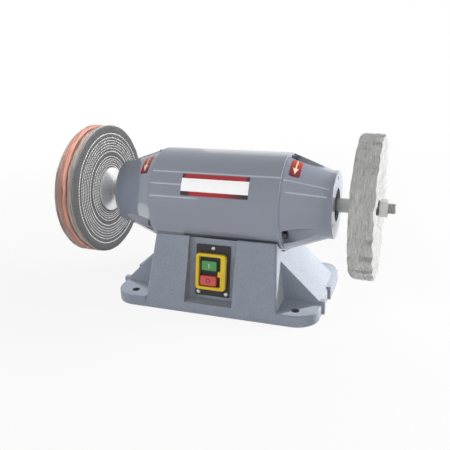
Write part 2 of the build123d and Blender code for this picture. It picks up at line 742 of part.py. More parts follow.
RACE_GROOVE_R = BALL_D / 2 + RUN_GAP
INNER_RACE_R = SPINDLE_D / 2 + SEAT_GAP + RACE_T
OUTER_RACE_R = BEARING_D / 2 - RACE_T


def race(side, outer_face, r_low, r_high):
    """One bearing ring, from its outer face inwards, with a groove for the balls."""
    with BuildPart() as ring:
        with BuildSketch(SPIN):
            with BuildLine():
                Polyline(
                    (side * outer_face, r_low),
                    (side * outer_face, r_high),
                    (side * (outer_face - BEARING_W), r_high),
                    (side * (outer_face - BEARING_W), r_low),
                    close=True,
                )
            make_face()
            with Locations((side * (outer_face - BEARING_W / 2), BALL_CIRCLE_R)):
                Circle(RACE_GROOVE_R, mode=Mode.SUBTRACT)
        revolve(axis=SPIN_AXIS)
    return ring


def balls(side, outer_face):
    """The ring of balls in one bearing."""
    middle = side * (outer_face - BEARING_W / 2)
    with BuildPart() as group:
        for count in range(BALL_COUNT):
            angle = radians(360 / BALL_COUNT * count)
            height = AXIS_H + BALL_CIRCLE_R * sin(angle)
            with Locations((middle, BALL_CIRCLE_R * cos(angle), height)):
                Sphere(BALL_D / 2)
    return group


def cage(side, outer_face):
    """The ring that spaces the balls, with a round window at each."""
    middle = side * (outer_face - BEARING_W / 2)
    with BuildPart() as ring:
        with BuildSketch(across(middle)):
            Circle(BALL_CIRCLE_R + CAGE_T / 2)
            Circle(BALL_CIRCLE_R - CAGE_T / 2, mode=Mode.SUBTRACT)
        extrude(amount=CAGE_W / 2, both=True)
        for count in range(BALL_COUNT):
            angle = radians(360 / BALL_COUNT * count)
            height = AXIS_H + BALL_CIRCLE_R * sin(angle)
            with Locations((middle, BALL_CIRCLE_R * cos(angle), height)):
                Sphere(BALL_D / 2 + CAGE_GAP, mode=Mode.SUBTRACT)
    return ring


def shields(side, outer_face):
    """The two thin rings that close one bearing, held in its outer ring."""
    with BuildPart() as pair:
        for start in (outer_face, outer_face - BEARING_W + SHIELD_T):
            with BuildSketch(across(side * start)):
                Circle(OUTER_RACE_R - SEAT_GAP)
                Circle(INNER_RACE_R + RUN_GAP, mode=Mode.SUBTRACT)
            extrude(amount=-side * SHIELD_T)
    return pair


BEARING_FACES = {"left": LEFT_BEARING_X, "right": RIGHT_BEARING_X}
for name, side in SIDES:
    face = BEARING_FACES[name]
    save(race(side, face, OUTER_RACE_R, BEARING_D / 2), f"{name}_bearing_outer_ring")
    save(race(side, face, SPINDLE_D / 2 + SEAT_GAP, INNER_RACE_R), f"{name}_bearing_inner_ring")
    save(balls(side, face), f"{name}_bearing_balls")
    save(cage(side, face), f"{name}_bearing_cage")
    save(shields(side, face), f"{name}_bearing_shields")

wave_spring = turned(
    (
        (RIGHT_BEARING_X, BEARING_D / 2 - WAVE_SPRING_W),
        (RIGHT_BEARING_X, BEARING_D / 2),
        (LIP_IN_X, BEARING_D / 2),
        (LIP_IN_X, BEARING_D / 2 - WAVE_SPRING_W),
    )
)
save(wave_spring, "wave_spring")

# Spindle, rotor and stator

spindle = turned(
    (
        (-SPINDLE_END_X, 0),
        (-SPINDLE_END_X, FREE_END_D / 2 - FREE_END_CHAMFER),
        (FREE_END_CHAMFER - SPINDLE_END_X, FREE_END_D / 2),
        (-FREE_END_X, FREE_END_D / 2),
        (-FREE_END_X, THREAD_D / 2),
        (-SHOULDER_X, THREAD_D / 2),
        (-SHOULDER_X, SPINDLE_D / 2),
        (BEARING_W - LEFT_BEARING_X, SPINDLE_D / 2),
        (BEARING_W - LEFT_BEARING_X, SPINDLE_D / 2 + SHOULDER_STEP),
        (-ROTOR_L / 2, SPINDLE_D / 2 + SHOULDER_STEP),
        (-ROTOR_L / 2, ROTOR_SEAT_D / 2),
        (ROTOR_L / 2, ROTOR_SEAT_D / 2),
        (ROTOR_L / 2, SPINDLE_D / 2 + SHOULDER_STEP),
        (RIGHT_BEARING_X - BEARING_W, SPINDLE_D / 2 + SHOULDER_STEP),
        (RIGHT_BEARING_X - BEARING_W, SPINDLE_D / 2),
        (SHOULDER_X, SPINDLE_D / 2),
        (SHOULDER_X, THREAD_D / 2),
        (FREE_END_X, THREAD_D / 2),
        (FREE_END_X, FREE_END_D / 2),
        (SPINDLE_END_X - FREE_END_CHAMFER, FREE_END_D / 2),
        (SPINDLE_END_X, FREE_END_D / 2 - FREE_END_CHAMFER),
        (SPINDLE_END_X, 0),
    )
)
save(spindle, "spindle")

ROTOR_R = STATOR_BORE_D / 2 - AIR_GAP
with BuildPart() as rotor_core:
    with BuildSketch(across(0)):
        Circle(ROTOR_R)
        Circle(ROTOR_SEAT_D / 2 + SEAT_GAP, mode=Mode.SUBTRACT)
    extrude(amount=ROTOR_L / 2, both=True)
save(rotor_core, "rotor_core")

with BuildPart() as rotor_end_rings:
    for name, side in SIDES:
        with BuildSketch(across(side * ROTOR_L / 2)):
            Circle(ROTOR_R - WINDING_GAP)
            Circle(ROTOR_R - WINDING_GAP - END_RING_WALL, mode=Mode.SUBTRACT)
        extrude(amount=side * END_RING_T)
save(rotor_end_rings, "rotor_end_rings")

SLOT_FLOOR_R = STATOR_BORE_D / 2 + SLOT_ROOF
SLOT_MIDDLE_R = SLOT_FLOOR_R + SLOT_DEPTH / 2
with BuildPart() as stator_core:
    with BuildSketch(across(0)):
        Circle(BARREL_INSIDE_R - SEAT_GAP)
        Circle(STATOR_BORE_D / 2, mode=Mode.SUBTRACT)
        with PolarLocations(SLOT_MIDDLE_R, SLOT_COUNT):
            Rectangle(SLOT_DEPTH, SLOT_W, mode=Mode.SUBTRACT)
    extrude(amount=STATOR_L / 2, both=True)
save(stator_core, "stator_core")

with BuildPart() as stator_windings:
    with BuildSketch(across(0)):
        with PolarLocations(SLOT_MIDDLE_R, SLOT_COUNT):
            Rectangle(SLOT_DEPTH - 2 * WINDING_GAP, SLOT_W - 2 * WINDING_GAP)
    extrude(amount=STATOR_L / 2 + (WINDING_NECK + WINDING_REACH) / 2, both=True)
    for name, side in SIDES:
        with BuildSketch(across(side * (STATOR_L / 2 + WINDING_NECK))):
            Circle(SLOT_FLOOR_R + SLOT_DEPTH - WINDING_GAP)
            Circle(SLOT_FLOOR_R + WINDING_GAP, mode=Mode.SUBTRACT)
        extrude(amount=side * (WINDING_REACH - WINDING_NECK))
save(stator_windings, "stator_windings")

# Flanges, nuts and wheels at each end of the spindle

SHAFT_HOLE_R = THREAD_D / 2 + PASS_GAP / 2
INNER_FLANGE_PROFILE = (
    (SHOULDER_X, SHAFT_HOLE_R),
    (SHOULDER_X, INNER_FLANGE_NECK_D / 2),
    (HUB_X - INNER_FLANGE_RIM_T, FLANGE_D / 2),
    (HUB_X, FLANGE_D / 2),
    (HUB_X, FLANGE_RELIEF_D / 2),
    (HUB_X - FLANGE_RELIEF_T, FLANGE_RELIEF_D / 2),
    (HUB_X - FLANGE_RELIEF_T, SHAFT_HOLE_R),
)
OUTER_FLANGE_PROFILE = (
    (OUTER_FLANGE_X + FLANGE_RELIEF_T, SHAFT_HOLE_R),
    (OUTER_FLANGE_X + FLANGE_RELIEF_T, FLANGE_RELIEF_D / 2),
    (OUTER_FLANGE_X, FLANGE_RELIEF_D / 2),
    (OUTER_FLANGE_X, FLANGE_D / 2),
    (LOCK_WASHER_X - FLANGE_RELIEF_T, FLANGE_D / 2),
    (LOCK_WASHER_X, FLANGE_RELIEF_D / 2),
    (LOCK_WASHER_X, SHAFT_HOLE_R),
)
WHEEL_POCKET_R = FLANGE_D / 2 + WHEEL_POCKET_GAP
WHEEL_R = WHEEL_D / 2
LEFT_WHEEL_PROFILE = (
    (HUB_X, SHAFT_HOLE_R),
    (HUB_X, WHEEL_R - LEFT_EDGE_CHAMFER),
    (HUB_X + LEFT_EDGE_CHAMFER, WHEEL_R),
    (HUB_X + LEFT_RIM_T - LEFT_EDGE_CHAMFER, WHEEL_R),
    (HUB_X + LEFT_RIM_T, WHEEL_R - LEFT_EDGE_CHAMFER),
    (HUB_X + LEFT_RIM_T, WHEEL_POCKET_R),
    (OUTER_FLANGE_X, WHEEL_POCKET_R),
    (OUTER_FLANGE_X, SHAFT_HOLE_R),
)
RIGHT_RIM_X = HUB_X - RIGHT_RIM_INSET
RIGHT_WHEEL_PROFILE = (
    (HUB_X, SHAFT_HOLE_R),
    (HUB_X, WHEEL_POCKET_R),
    (RIGHT_RIM_X, RIGHT_DISH_D / 2),
    (RIGHT_RIM_X, WHEEL_R - RIGHT_EDGE_CHAMFER),
    (RIGHT_RIM_X + RIGHT_EDGE_CHAMFER, WHEEL_R),
    (RIGHT_RIM_X + RIGHT_RIM_T - RIGHT_EDGE_CHAMFER, WHEEL_R),
    (RIGHT_RIM_X + RIGHT_RIM_T, WHEEL_R - RIGHT_EDGE_CHAMFER),
    (RIGHT_RIM_X + RIGHT_RIM_T, RIGHT_DISH_D / 2),
    (OUTER_FLANGE_X, WHEEL_POCKET_R),
    (OUTER_FLANGE_X, SHAFT_HOLE_R),
)


def lock_washer(side):
    """A split spring washer under one nut."""
    with BuildPart() as washer:
        with BuildSketch(across(side * LOCK_WASHER_X)):
            Circle(LOCK_WASHER_D / 2)
            Circle(SHAFT_HOLE_R, mode=Mode.SUBTRACT)
            split = (LOCK_WASHER_D / 2, LOCK_WASHER_SPLIT)
            Rectangle(*split, align=(Align.MIN, Align.CENTER), mode=Mode.SUBTRACT)
        extrude(amount=side * LOCK_WASHER_T)
    return washer


def spindle_nut(side):
    """A hexagon nut with chamfered corners on one thread."""
    corner_r = NUT_AF / 2 / cos(radians(30))
    with BuildPart() as nut:
        with BuildSketch(across(side * NUT_X)):
            RegularPolygon(NUT_AF / 2, 6, major_radius=False)
        extrude(amount=side * NUT_T)
        with BuildSketch(SPIN):
            with BuildLine():
                Polyline(
                    (side * NUT_X, THREAD_D / 2 + SEAT_GAP),
                    (side * NUT_X, corner_r - NUT_CHAMFER),
                    (side * (NUT_X + NUT_CHAMFER / 2), corner_r),
                    (side * (FREE_END_X - NUT_CHAMFER / 2), corner_r),
                    (side * FREE_END_X, corner_r - NUT_CHAMFER),
                    (side * FREE_END_X, THREAD_D / 2 + SEAT_GAP),
                    close=True,
                )
            make_face()
        revolve(axis=SPIN_AXIS, mode=Mode.INTERSECT)
    return nut


for name, side in SIDES:
    save(turned(INNER_FLANGE_PROFILE, side), f"{name}_inner_flange")
    save(turned(OUTER_FLANGE_PROFILE, side), f"{name}_outer_flange")
    save(lock_washer(side), f"{name}_lock_washer")
    save(spindle_nut(side), f"{name}_spindle_nut")
save(turned(LEFT_WHEEL_PROFILE, -1), "left_polishing_wheel")
save(turned(RIGHT_WHEEL_PROFILE), "right_polishing_wheel")

# Switch

with BuildPart() as switch_plate:
    with BuildSketch(PANEL):
        RectangleRounded(PLATE_W, PLATE_H, PLATE_CORNER_R)
        with Locations((FRAME_U, FRAME_V)):
            body_opening = (SWITCH_BODY_W + 2 * PASS_GAP, SWITCH_BODY_H + 2 * PASS_GAP)
            Rectangle(*body_opening, mode=Mode.SUBTRACT)
        with Locations(*plate_screw_spots):
            Circle(PLATE_SCREW_D / 2 + PASS_GAP, mode=Mode.SUBTRACT)
    extrude(amount=PLATE_T)
save(switch_plate, "switch_plate")

with BuildPart() as switch_screws:
    with BuildSketch(PANEL.offset(PLATE_T)):
        with Locations(*plate_screw_spots):
            Circle(PLATE_SCREW_HEAD_D / 2)
    extrude(amount=PLATE_SCREW_HEAD_H)
    head_tops = switch_screws.faces().sort_by(PANEL_OUT)[-len(plate_screw_spots):]
    fillet(head_tops.edges(), PLATE_SCREW_HEAD_H / 3)
    with BuildSketch(PANEL.offset(PLATE_T)):
        with Locations(*plate_screw_spots):
            Circle(PLATE_SCREW_D / 2)
    extrude(amount=-PLATE_SCREW_L)
save(switch_screws, "switch_screws")

with BuildPart() as switch_frame:
    opening_u = FRAME_U + FRAME_OPENING_SHIFT
    tab_u = opening_u + (FRAME_OPENING_W - FRAME_TAB_W) / 2
    with BuildSketch(PANEL.offset(PLATE_T)):
        with Locations((FRAME_U, FRAME_V)):
            RectangleRounded(FRAME_W, FRAME_H, FRAME_CORNER_R)
        with Locations((opening_u, FRAME_V)):
            opening = (FRAME_OPENING_W, FRAME_OPENING_H, FRAME_OPENING_R)
            RectangleRounded(*opening, mode=Mode.SUBTRACT)
        with Locations((tab_u, FRAME_V + FRAME_TAB_V)):
            Rectangle(FRAME_TAB_W, FRAME_TAB_H)
    extrude(amount=FRAME_T)
save(switch_frame, "switch_frame")

BUTTONS = (
    ("start_button", START_BUTTON, FRAME_V + START_BUTTON_V, START_BUTTON_OUT),
    ("stop_button", STOP_BUTTON, FRAME_V + STOP_BUTTON_V, STOP_BUTTON_OUT),
)
BUTTON_U = FRAME_U + BUTTON_SHIFT
FACE_BACK = PLATE_T - SWITCH_FACE_T
LIP_FRONT = FACE_BACK - SLIDE_GAP
LIP_BACK = LIP_FRONT - BUTTON_LIP_T
WELL_FLOOR = LIP_BACK - BUTTON_WELL_D

with BuildPart() as switch_body:
    with BuildSketch(PANEL.offset(PLATE_T)):
        with Locations((FRAME_U, FRAME_V)):
            Rectangle(SWITCH_BODY_W, SWITCH_BODY_H)
    extrude(amount=-SWITCH_BODY_D)
    for name, size, middle, out in BUTTONS:
        with BuildSketch(PANEL.offset(PLATE_T)):
            with Locations((BUTTON_U, middle)):
                Rectangle(size[0] + 2 * SLIDE_GAP, size[1] + 2 * SLIDE_GAP)
        extrude(amount=-SWITCH_FACE_T, mode=Mode.SUBTRACT)
        with BuildSketch(PANEL.offset(FACE_BACK)):
            with Locations((BUTTON_U, middle)):
                well_grow = 2 * (BUTTON_LIP + SLIDE_GAP)
                Rectangle(size[0] + well_grow, size[1] + well_grow)
        extrude(amount=WELL_FLOOR - FACE_BACK, mode=Mode.SUBTRACT)
save(switch_body, "switch_body")


def button(size, middle, out):
    """A square key with a lip that keeps it behind the face of the switch."""
    with BuildPart() as key:
        with BuildSketch(PANEL.offset(LIP_BACK)):
            with Locations((BUTTON_U, middle)):
                RectangleRounded(*size, BUTTON_CORNER_R)
        extrude(amount=PLATE_T + out - LIP_BACK)
        fillet(key.faces().sort_by(PANEL_OUT)[-1].edges(), BUTTON_CORNER_R / 2)
        with BuildSketch(PANEL.offset(LIP_BACK)):
            with Locations((BUTTON_U, middle)):
                Rectangle(size[0] + 2 * BUTTON_LIP, size[1] + 2 * BUTTON_LIP)
        extrude(amount=BUTTON_LIP_T)
    return key


def button_spring(middle):
    """A coil spring between the floor of a button's well and the button."""
    seat = PANEL.from_local_coords((BUTTON_U, middle, WELL_FLOOR + BUTTON_SPRING_WIRE / 2))
    height = BUTTON_WELL_D - BUTTON_SPRING_WIRE
    coil_r = (BUTTON_SPRING_D - BUTTON_SPRING_WIRE) / 2
    with BuildPart() as spring:
        with BuildLine():
            coil = Helix(height / BUTTON_SPRING_TURNS, height, coil_r, center=seat, direction=PANEL.z_dir)
        with BuildSketch(Plane(origin=coil @ 0, z_dir=coil % 0)):
            Circle(BUTTON_SPRING_WIRE / 2)
        sweep(path=coil, is_frenet=True)
    return spring


for name, size, middle, out in BUTTONS:
    save(button(size, middle, out), name)
    save(button_spring(middle), f"{name}_spring")

# Electrics inside the base

CAPACITOR_Z = DECK_LOW_Z - CLIP_R - CLIP_T
CAPACITOR_PLANE = Plane(origin=(0, CAPACITOR_Y, CAPACITOR_Z), x_dir=(0, 1, 0), z_dir=(1, 0, 0))

with BuildPart() as capacitor:
    with BuildSketch(CAPACITOR_PLANE):
        Circle(CAPACITOR_D / 2)
    extrude(amount=CAPACITOR_L / 2, both=True)
    with BuildSketch(CAPACITOR_PLANE.offset(CAPACITOR_L / 2)):
        with GridLocations(CAPACITOR_D / 2, CAPACITOR_D, 2, 1):
            Circle(CAPACITOR_STUD_D / 2)
    extrude(amount=CAPACITOR_STUD_L)
save(capacitor, "capacitor")

with BuildPart() as capacitor_clip:
    with BuildSketch(CAPACITOR_PLANE):
        Circle(CLIP_R + CLIP_T)
        with Locations((0, CLIP_R)):
            ear = (CLIP_R + CLIP_T + CLIP_EAR, CLIP_T)
            Rectangle(*ear, align=(Align.MAX, Align.MIN))
        Circle(CLIP_R, mode=Mode.SUBTRACT)
    extrude(amount=CLIP_W / 2, both=True)
    with BuildSketch(Plane.XY.offset(DECK_LOW_Z)):
        with Locations((0, CLIP_SCREW_Y)):
            Circle(CLIP_SCREW_D / 2 + PASS_GAP)
    extrude(amount=-CLIP_T, mode=Mode.SUBTRACT)
save(capacitor_clip, "capacitor_clip")

with BuildPart() as capacitor_clip_screw:
    with BuildSketch(Plane.XY.offset(DECK_LOW_Z - CLIP_T)):
        with Locations((0, CLIP_SCREW_Y)):
            Circle(CLIP_SCREW_HEAD_D / 2)
    extrude(amount=-CLIP_SCREW_HEAD_H)
    with BuildSketch(Plane.XY.offset(DECK_LOW_Z - CLIP_T)):
        with Locations((0, CLIP_SCREW_Y)):
            Circle(CLIP_SCREW_D / 2)
    extrude(amount=CLIP_SCREW_L)
save(capacitor_clip_screw, "capacitor_clip_screw")

with BuildPart() as terminal_block:
    with BuildSketch(Plane.XY.offset(DECK_LOW_Z)):
        with Locations((TERMINAL_X, TERMINAL_Y)):
            Rectangle(TERMINAL_W, TERMINAL_L)
    extrude(amount=-TERMINAL_H)
    with BuildSketch(Plane.YZ.offset(TERMINAL_X)):
        with Locations((TERMINAL_Y, DECK_LOW_Z - TERMINAL_H / 2)):
            with GridLocations(TERMINAL_L / TERMINAL_WAYS, TERMINAL_H, TERMINAL_WAYS, 1):
                Circle(TERMINAL_WAY_D / 2)
    extrude(amount=TERMINAL_W, both=True, mode=Mode.SUBTRACT)
save(terminal_block, "terminal_block")

with BuildPart() as cable_gland:
    with BuildSketch(GLAND_PLANE):
        RegularPolygon(GLAND_FLANGE_AF / 2, 6, major_radius=False)
    extrude(amount=GLAND_FLANGE_T)
    with BuildSketch(GLAND_PLANE.offset(GLAND_FLANGE_T)):
        Circle(GLAND_DOME_D / 2)
    extrude(amount=GLAND_DOME_L)
    fillet(cable_gland.faces().sort_by(Axis.Y)[-1].edges(), (GLAND_DOME_D - GLAND_CORD_D) / 4)
    with BuildSketch(GLAND_PLANE):
        Circle(GLAND_THREAD_D / 2)
    extrude(amount=-GLAND_THREAD_L)
    with BuildSketch(GLAND_PLANE.offset(GLAND_FLANGE_T + GLAND_DOME_L)):
        Circle(GLAND_CORD_D / 2)
    extrude(amount=-GLAND_FLANGE_T - GLAND_DOME_L - GLAND_THREAD_L, mode=Mode.SUBTRACT)
save(cable_gland, "cable_gland")

with BuildPart() as cable_gland_nut:
    with BuildSketch(GLAND_PLANE.offset(-GLAND_BOSS_L)):
        RegularPolygon(GLAND_NUT_AF / 2, 6, major_radius=False)
        Circle(GLAND_THREAD_D / 2 + SEAT_GAP, mode=Mode.SUBTRACT)
    extrude(amount=-GLAND_NUT_T)
save(cable_gland_nut, "cable_gland_nut")
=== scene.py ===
# Looks of a double-ended bench polisher. Lengths are in metres and places are in the frame of
# the solids: X runs along the spindle, -Y faces the user and Z is up.
import json
import math

import bpy
from mathutils import Matrix, Vector, noise

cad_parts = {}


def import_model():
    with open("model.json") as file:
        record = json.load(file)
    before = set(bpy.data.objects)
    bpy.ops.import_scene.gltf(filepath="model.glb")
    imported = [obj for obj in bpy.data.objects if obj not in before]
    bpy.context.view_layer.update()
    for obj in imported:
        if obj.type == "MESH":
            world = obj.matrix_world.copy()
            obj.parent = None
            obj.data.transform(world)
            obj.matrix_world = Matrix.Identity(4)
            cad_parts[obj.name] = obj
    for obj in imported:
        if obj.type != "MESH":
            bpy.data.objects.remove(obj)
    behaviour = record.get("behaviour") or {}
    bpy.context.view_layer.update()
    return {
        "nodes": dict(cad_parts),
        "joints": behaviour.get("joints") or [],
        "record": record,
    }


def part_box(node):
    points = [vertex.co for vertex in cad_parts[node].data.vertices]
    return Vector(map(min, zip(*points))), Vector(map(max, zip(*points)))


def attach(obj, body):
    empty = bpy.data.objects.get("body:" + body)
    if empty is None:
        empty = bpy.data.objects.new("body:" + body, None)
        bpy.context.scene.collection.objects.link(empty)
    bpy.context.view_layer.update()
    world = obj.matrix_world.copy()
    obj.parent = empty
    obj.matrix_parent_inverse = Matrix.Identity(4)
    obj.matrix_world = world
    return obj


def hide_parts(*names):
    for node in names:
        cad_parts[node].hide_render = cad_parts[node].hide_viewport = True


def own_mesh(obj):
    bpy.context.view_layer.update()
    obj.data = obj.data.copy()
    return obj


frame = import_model()
nodes = frame["nodes"]
joints = {joint["name"]: joint for joint in frame["joints"]}

MM = 0.001
FULL_TURN = 2 * math.pi
AXIS_Z = joints["spindle_spin"]["pos_m"][2]
MIDDLE = (0.0, 0.0, AXIS_Z)
ALONG_SPINDLE = Vector((1.0, 0.0, 0.0))

# Sizes that several pieces share

left_low, left_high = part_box("left_polishing_wheel")
right_low, right_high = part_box("right_polishing_wheel")
flange_low, flange_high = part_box("left_inner_flange")
WHEEL_R = (left_high.z - left_low.z) / 2
FLANGE_R = (flange_high.z - flange_low.z) / 2
POCKET_R = FLANGE_R + 2 * MM
BORE_R = 7.15 * MM


# Node trees

SOCKETS = {
    "colour": "NodeSocketColor",
    "value": "NodeSocketFloat",
    "vector": "NodeSocketVector",
    "count": "NodeSocketInt",
    "material": "NodeSocketMaterial",
    "geometry": "NodeSocketGeometry",
}
NOISE_LOW = 0.3
NOISE_HIGH = 0.7


def set_all(thing, settings):
    """Set properties of a thing by name."""
    for name, value in settings.items():
        setattr(thing, name, value)


class NodeMaker:
    """Short calls that add nodes to one tree."""

    def __init__(self, tree):
        self.tree = tree

    def add(self, kind, feeds=None, **settings):
        """One node, with its settings and with what feeds its inputs."""
        node = self.tree.nodes.new(kind)
        set_all(node, settings)
        for name, value in (feeds or {}).items():
            self.feed(node.inputs[name], value)
        return node

    def feed(self, socket, value):
        """Link a socket to an output, or set it to a plain value."""
        if isinstance(value, bpy.types.NodeSocket):
            self.tree.links.new(value, socket)
        else:
            socket.default_value = value

    def out(self, kind, feeds=None, **settings):
        """The first output of one new node."""
        return self.add(kind, feeds, **settings).outputs[0]

    def math(self, operation, first, second=0.0):
        """The result of one sum on two values."""
        return self.out("ShaderNodeMath", {0: first, 1: second}, operation=operation)

    def plus(self, first, second):
        return self.math("ADD", first, second)

    def minus(self, first, second):
        return self.math("SUBTRACT", first, second)

    def times(self, first, second):
        return self.math("MULTIPLY", first, second)

    def larger(self, first, second):
        return self.math("MAXIMUM", first, second)

    def distance(self, first, second):
        """How far a point is from a centre, by its two steps from it."""
        return self.math("SQRT", self.plus(self.times(first, first), self.times(second, second)))

    def parts(self, vector):
        """The X, Y and Z of a vector, by name."""
        return self.add("ShaderNodeSeparateXYZ", {0: vector}).outputs

    def vector(self, x=0.0, y=0.0, z=0.0):
        """A vector made of its parts."""
        return self.out("ShaderNodeCombineXYZ", {"X": x, "Y": y, "Z": z})

    def stretch(self, vector, factors):
        """A vector with each of its parts scaled by itself."""
        return self.out("ShaderNodeVectorMath", {0: vector, 1: factors}, operation="MULTIPLY")

    def scaled(self, colour, factor):
        """A colour made lighter or darker."""
        return self.out("ShaderNodeVectorMath", {0: colour, "Scale": factor}, operation="SCALE")

    def mix(self, share, first, second):
        """Two colours mixed by a share."""
        node = self.add("ShaderNodeMix", {0: share, 6: first, 7: second}, data_type="RGBA")
        return node.outputs[2]

    def noise(self, vector, scale, detail=2.0):
        """Soft noise from 0 to 1, with scale counted per metre."""
        feeds = {"Vector": vector, "Scale": scale, "Detail": detail}
        return self.add("ShaderNodeTexNoise", feeds).outputs["Fac"]

    def fade(self, value, low, high, to_low=0.0, to_high=1.0):
        """A straight fade from to_low at low to to_high at high, level beyond."""
        feeds = {"Value": value, "From Min": low, "From Max": high, "To Min": to_low, "To Max": to_high}
        return self.add("ShaderNodeMapRange", feeds).outputs["Result"]

    def vary(self, texture, low, high):
        """A value from low to high that follows a noise."""
        return self.fade(texture, NOISE_LOW, NOISE_HIGH, low, high)


def node_group(name, kind, inputs, outputs):
    """A node group with named sockets, as its maker, what it is given and what it puts out."""
    group = bpy.data.node_groups.new(name, kind)
    for direction, sockets in (("INPUT", inputs), ("OUTPUT", outputs)):
        for label, socket in sockets.items():
            group.interface.new_socket(label, in_out=direction, socket_type=SOCKETS[socket])
    make = NodeMaker(group)
    return make, make.add("NodeGroupInput").outputs, make.add("NodeGroupOutput").inputs


# Effects that several finishes share

FINER_PATCHES = 9.0
PIT_LEVELS = (0.46, 0.34)
THREAD_LEVELS = (0.38, 0.62)


def mottle_effect():
    """A colour that drifts lighter and darker in broad patches, with finer ones inside them."""
    inputs = {"Vector": "vector", "Colour": "colour", "Scale": "value", "Spread": "value"}
    make, given, result = node_group("mottle", "ShaderNodeTree", inputs, {"Colour": "colour"})
    broad = make.noise(given["Vector"], given["Scale"], detail=3.0)
    fine = make.noise(given["Vector"], make.times(given["Scale"], FINER_PATCHES))
    drift = make.minus(make.plus(broad, fine), 1.0)
    factor = make.plus(make.times(drift, given["Spread"]), 1.0)
    make.feed(result["Colour"], make.scaled(given["Colour"], factor))
    return make.tree


def grain_effect():
    """The small bumps of a cast or sprayed surface, and a mask of its pits."""
    inputs = {"Vector": "vector", "Scale": "value"}
    outputs = {"Height": "value", "Pits": "value"}
    make, given, result = node_group("grain", "ShaderNodeTree", inputs, outputs)
    height = make.noise(given["Vector"], given["Scale"], detail=4.0)
    make.feed(result["Height"], height)
    make.feed(result["Pits"], make.fade(height, *PIT_LEVELS))
    return make.tree


def turned_effect():
    """Fine rings left by a lathe, all round the spindle's axis."""
    inputs = {"Vector": "vector", "Axis Height": "value", "Density": "value"}
    make, given, result = node_group("turned rings", "ShaderNodeTree", inputs, {"Rings": "value"})
    parts = make.parts(given["Vector"])
    radius = make.distance(parts["Y"], make.minus(parts["Z"], given["Axis Height"]))
    section = make.vector(parts["X"], radius)
    make.feed(result["Rings"], make.noise(section, given["Density"], detail=3.0))
    return make.tree


def fibre_effect():
    """Threads that run along a cloth's edge, as a mask and as a height."""
    inputs = {"Vector": "vector", "Along": "value", "Across": "value"}
    outputs = {"Mask": "value", "Height": "value"}
    make, given, result = node_group("fibres", "ShaderNodeTree", inputs, outputs)
    scales = make.vector(given["Along"], given["Across"], 1.0)
    threads = make.noise(make.stretch(given["Vector"], scales), 1.0, detail=3.0)
    make.feed(result["Mask"], make.fade(threads, *THREAD_LEVELS))
    make.feed(result["Height"], threads)
    return make.tree


EFFECTS = {
    "mottle": mottle_effect(),
    "grain": grain_effect(),
    "turned": turned_effect(),
    "fibres": fibre_effect(),
}


# Finishes, each kept by its name

FINISHES = {}


def srgb(red, green, blue):
    """A colour given as screen values from 0 to 255, as a shader takes it."""
    shares = (red / 255, green / 255, blue / 255)
    linear = [s / 12.92 if s <= 0.04045 else ((s + 0.055) / 1.055) ** 2.4 for s in shares]
    return (*linear, 1.0)


class Finish(NodeMaker):
    """A material with one Principled shader, and short calls for what feeds it."""

    def __init__(self, name, sockets):
        material = bpy.data.materials.new(name)
        material.use_nodes = True
        super().__init__(material.node_tree)
        self.shader = self.tree.nodes["Principled BSDF"]
        where = self.add("ShaderNodeTexCoord").outputs
        self.place = where["Object"]
        self.uv = where["UV"]
        self.give(sockets)
        FINISHES[name] = material

    def give(self, sockets):
        """Set or feed the shader's sockets by name."""
        for label, value in sockets.items():
            self.feed(self.shader.inputs[label], value)

    def use(self, name, feeds):
        """A shared effect placed in this material, as its outputs."""
        return self.add("ShaderNodeGroup", feeds, node_tree=EFFECTS[name]).outputs

    def mottle(self, colour, scale, spread):
        """A drifting colour on the piece's own coordinates."""
        feeds = {"Vector": self.place, "Colour": colour, "Scale": scale, "Spread": spread}
        return self.use("mottle", feeds)["Colour"]

    def grain(self, scale):
        """The grain's height and pits on the piece's own coordinates."""
        return self.use("grain", {"Vector": self.place, "Scale": scale})

    def rings(self, density):
        """The rings of a lathe tool."""
        feeds = {"Vector": self.place, "Axis Height": AXIS_Z, "Density": density}
        return self.use("turned", feeds)["Rings"]

    def streaks(self, across, along, detail=2.0):
        """Noise that is drawn out round a wheel's rim."""
        return self.noise(self.stretch(self.place, (across, along, along)), 1.0, detail)

    def from_spindle(self):
        """The direction away from the spindle's axis, in the world."""
        offset = self.out("ShaderNodeVectorMath", {0: self.place, 1: MIDDLE}, operation="SUBTRACT")
        outward = self.stretch(offset, (0.0, 1.0, 1.0))
        return self.out("ShaderNodeVectorTransform", {0: outward}, convert_from="OBJECT", convert_to="WORLD")

    def bump(self, height, distance):
        """Relief from a height, where 1 stands proud by distance."""
        node = self.add("ShaderNodeBump", {"Height": height, "Distance": distance})
        self.give({"Normal": node.outputs["Normal"]})


SOFT_EDGE = 0.5 * MM
SADDLE_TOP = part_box("base_casting")[1].z
SADDLE_HALF = 91.4 * MM
# Where the band of painted shade on the barrel above the saddle fades out, and where it is full
SHADE_TOP = SADDLE_TOP + 4.0 * MM
SHADE_FULL = SADDLE_TOP + 1.8 * MM


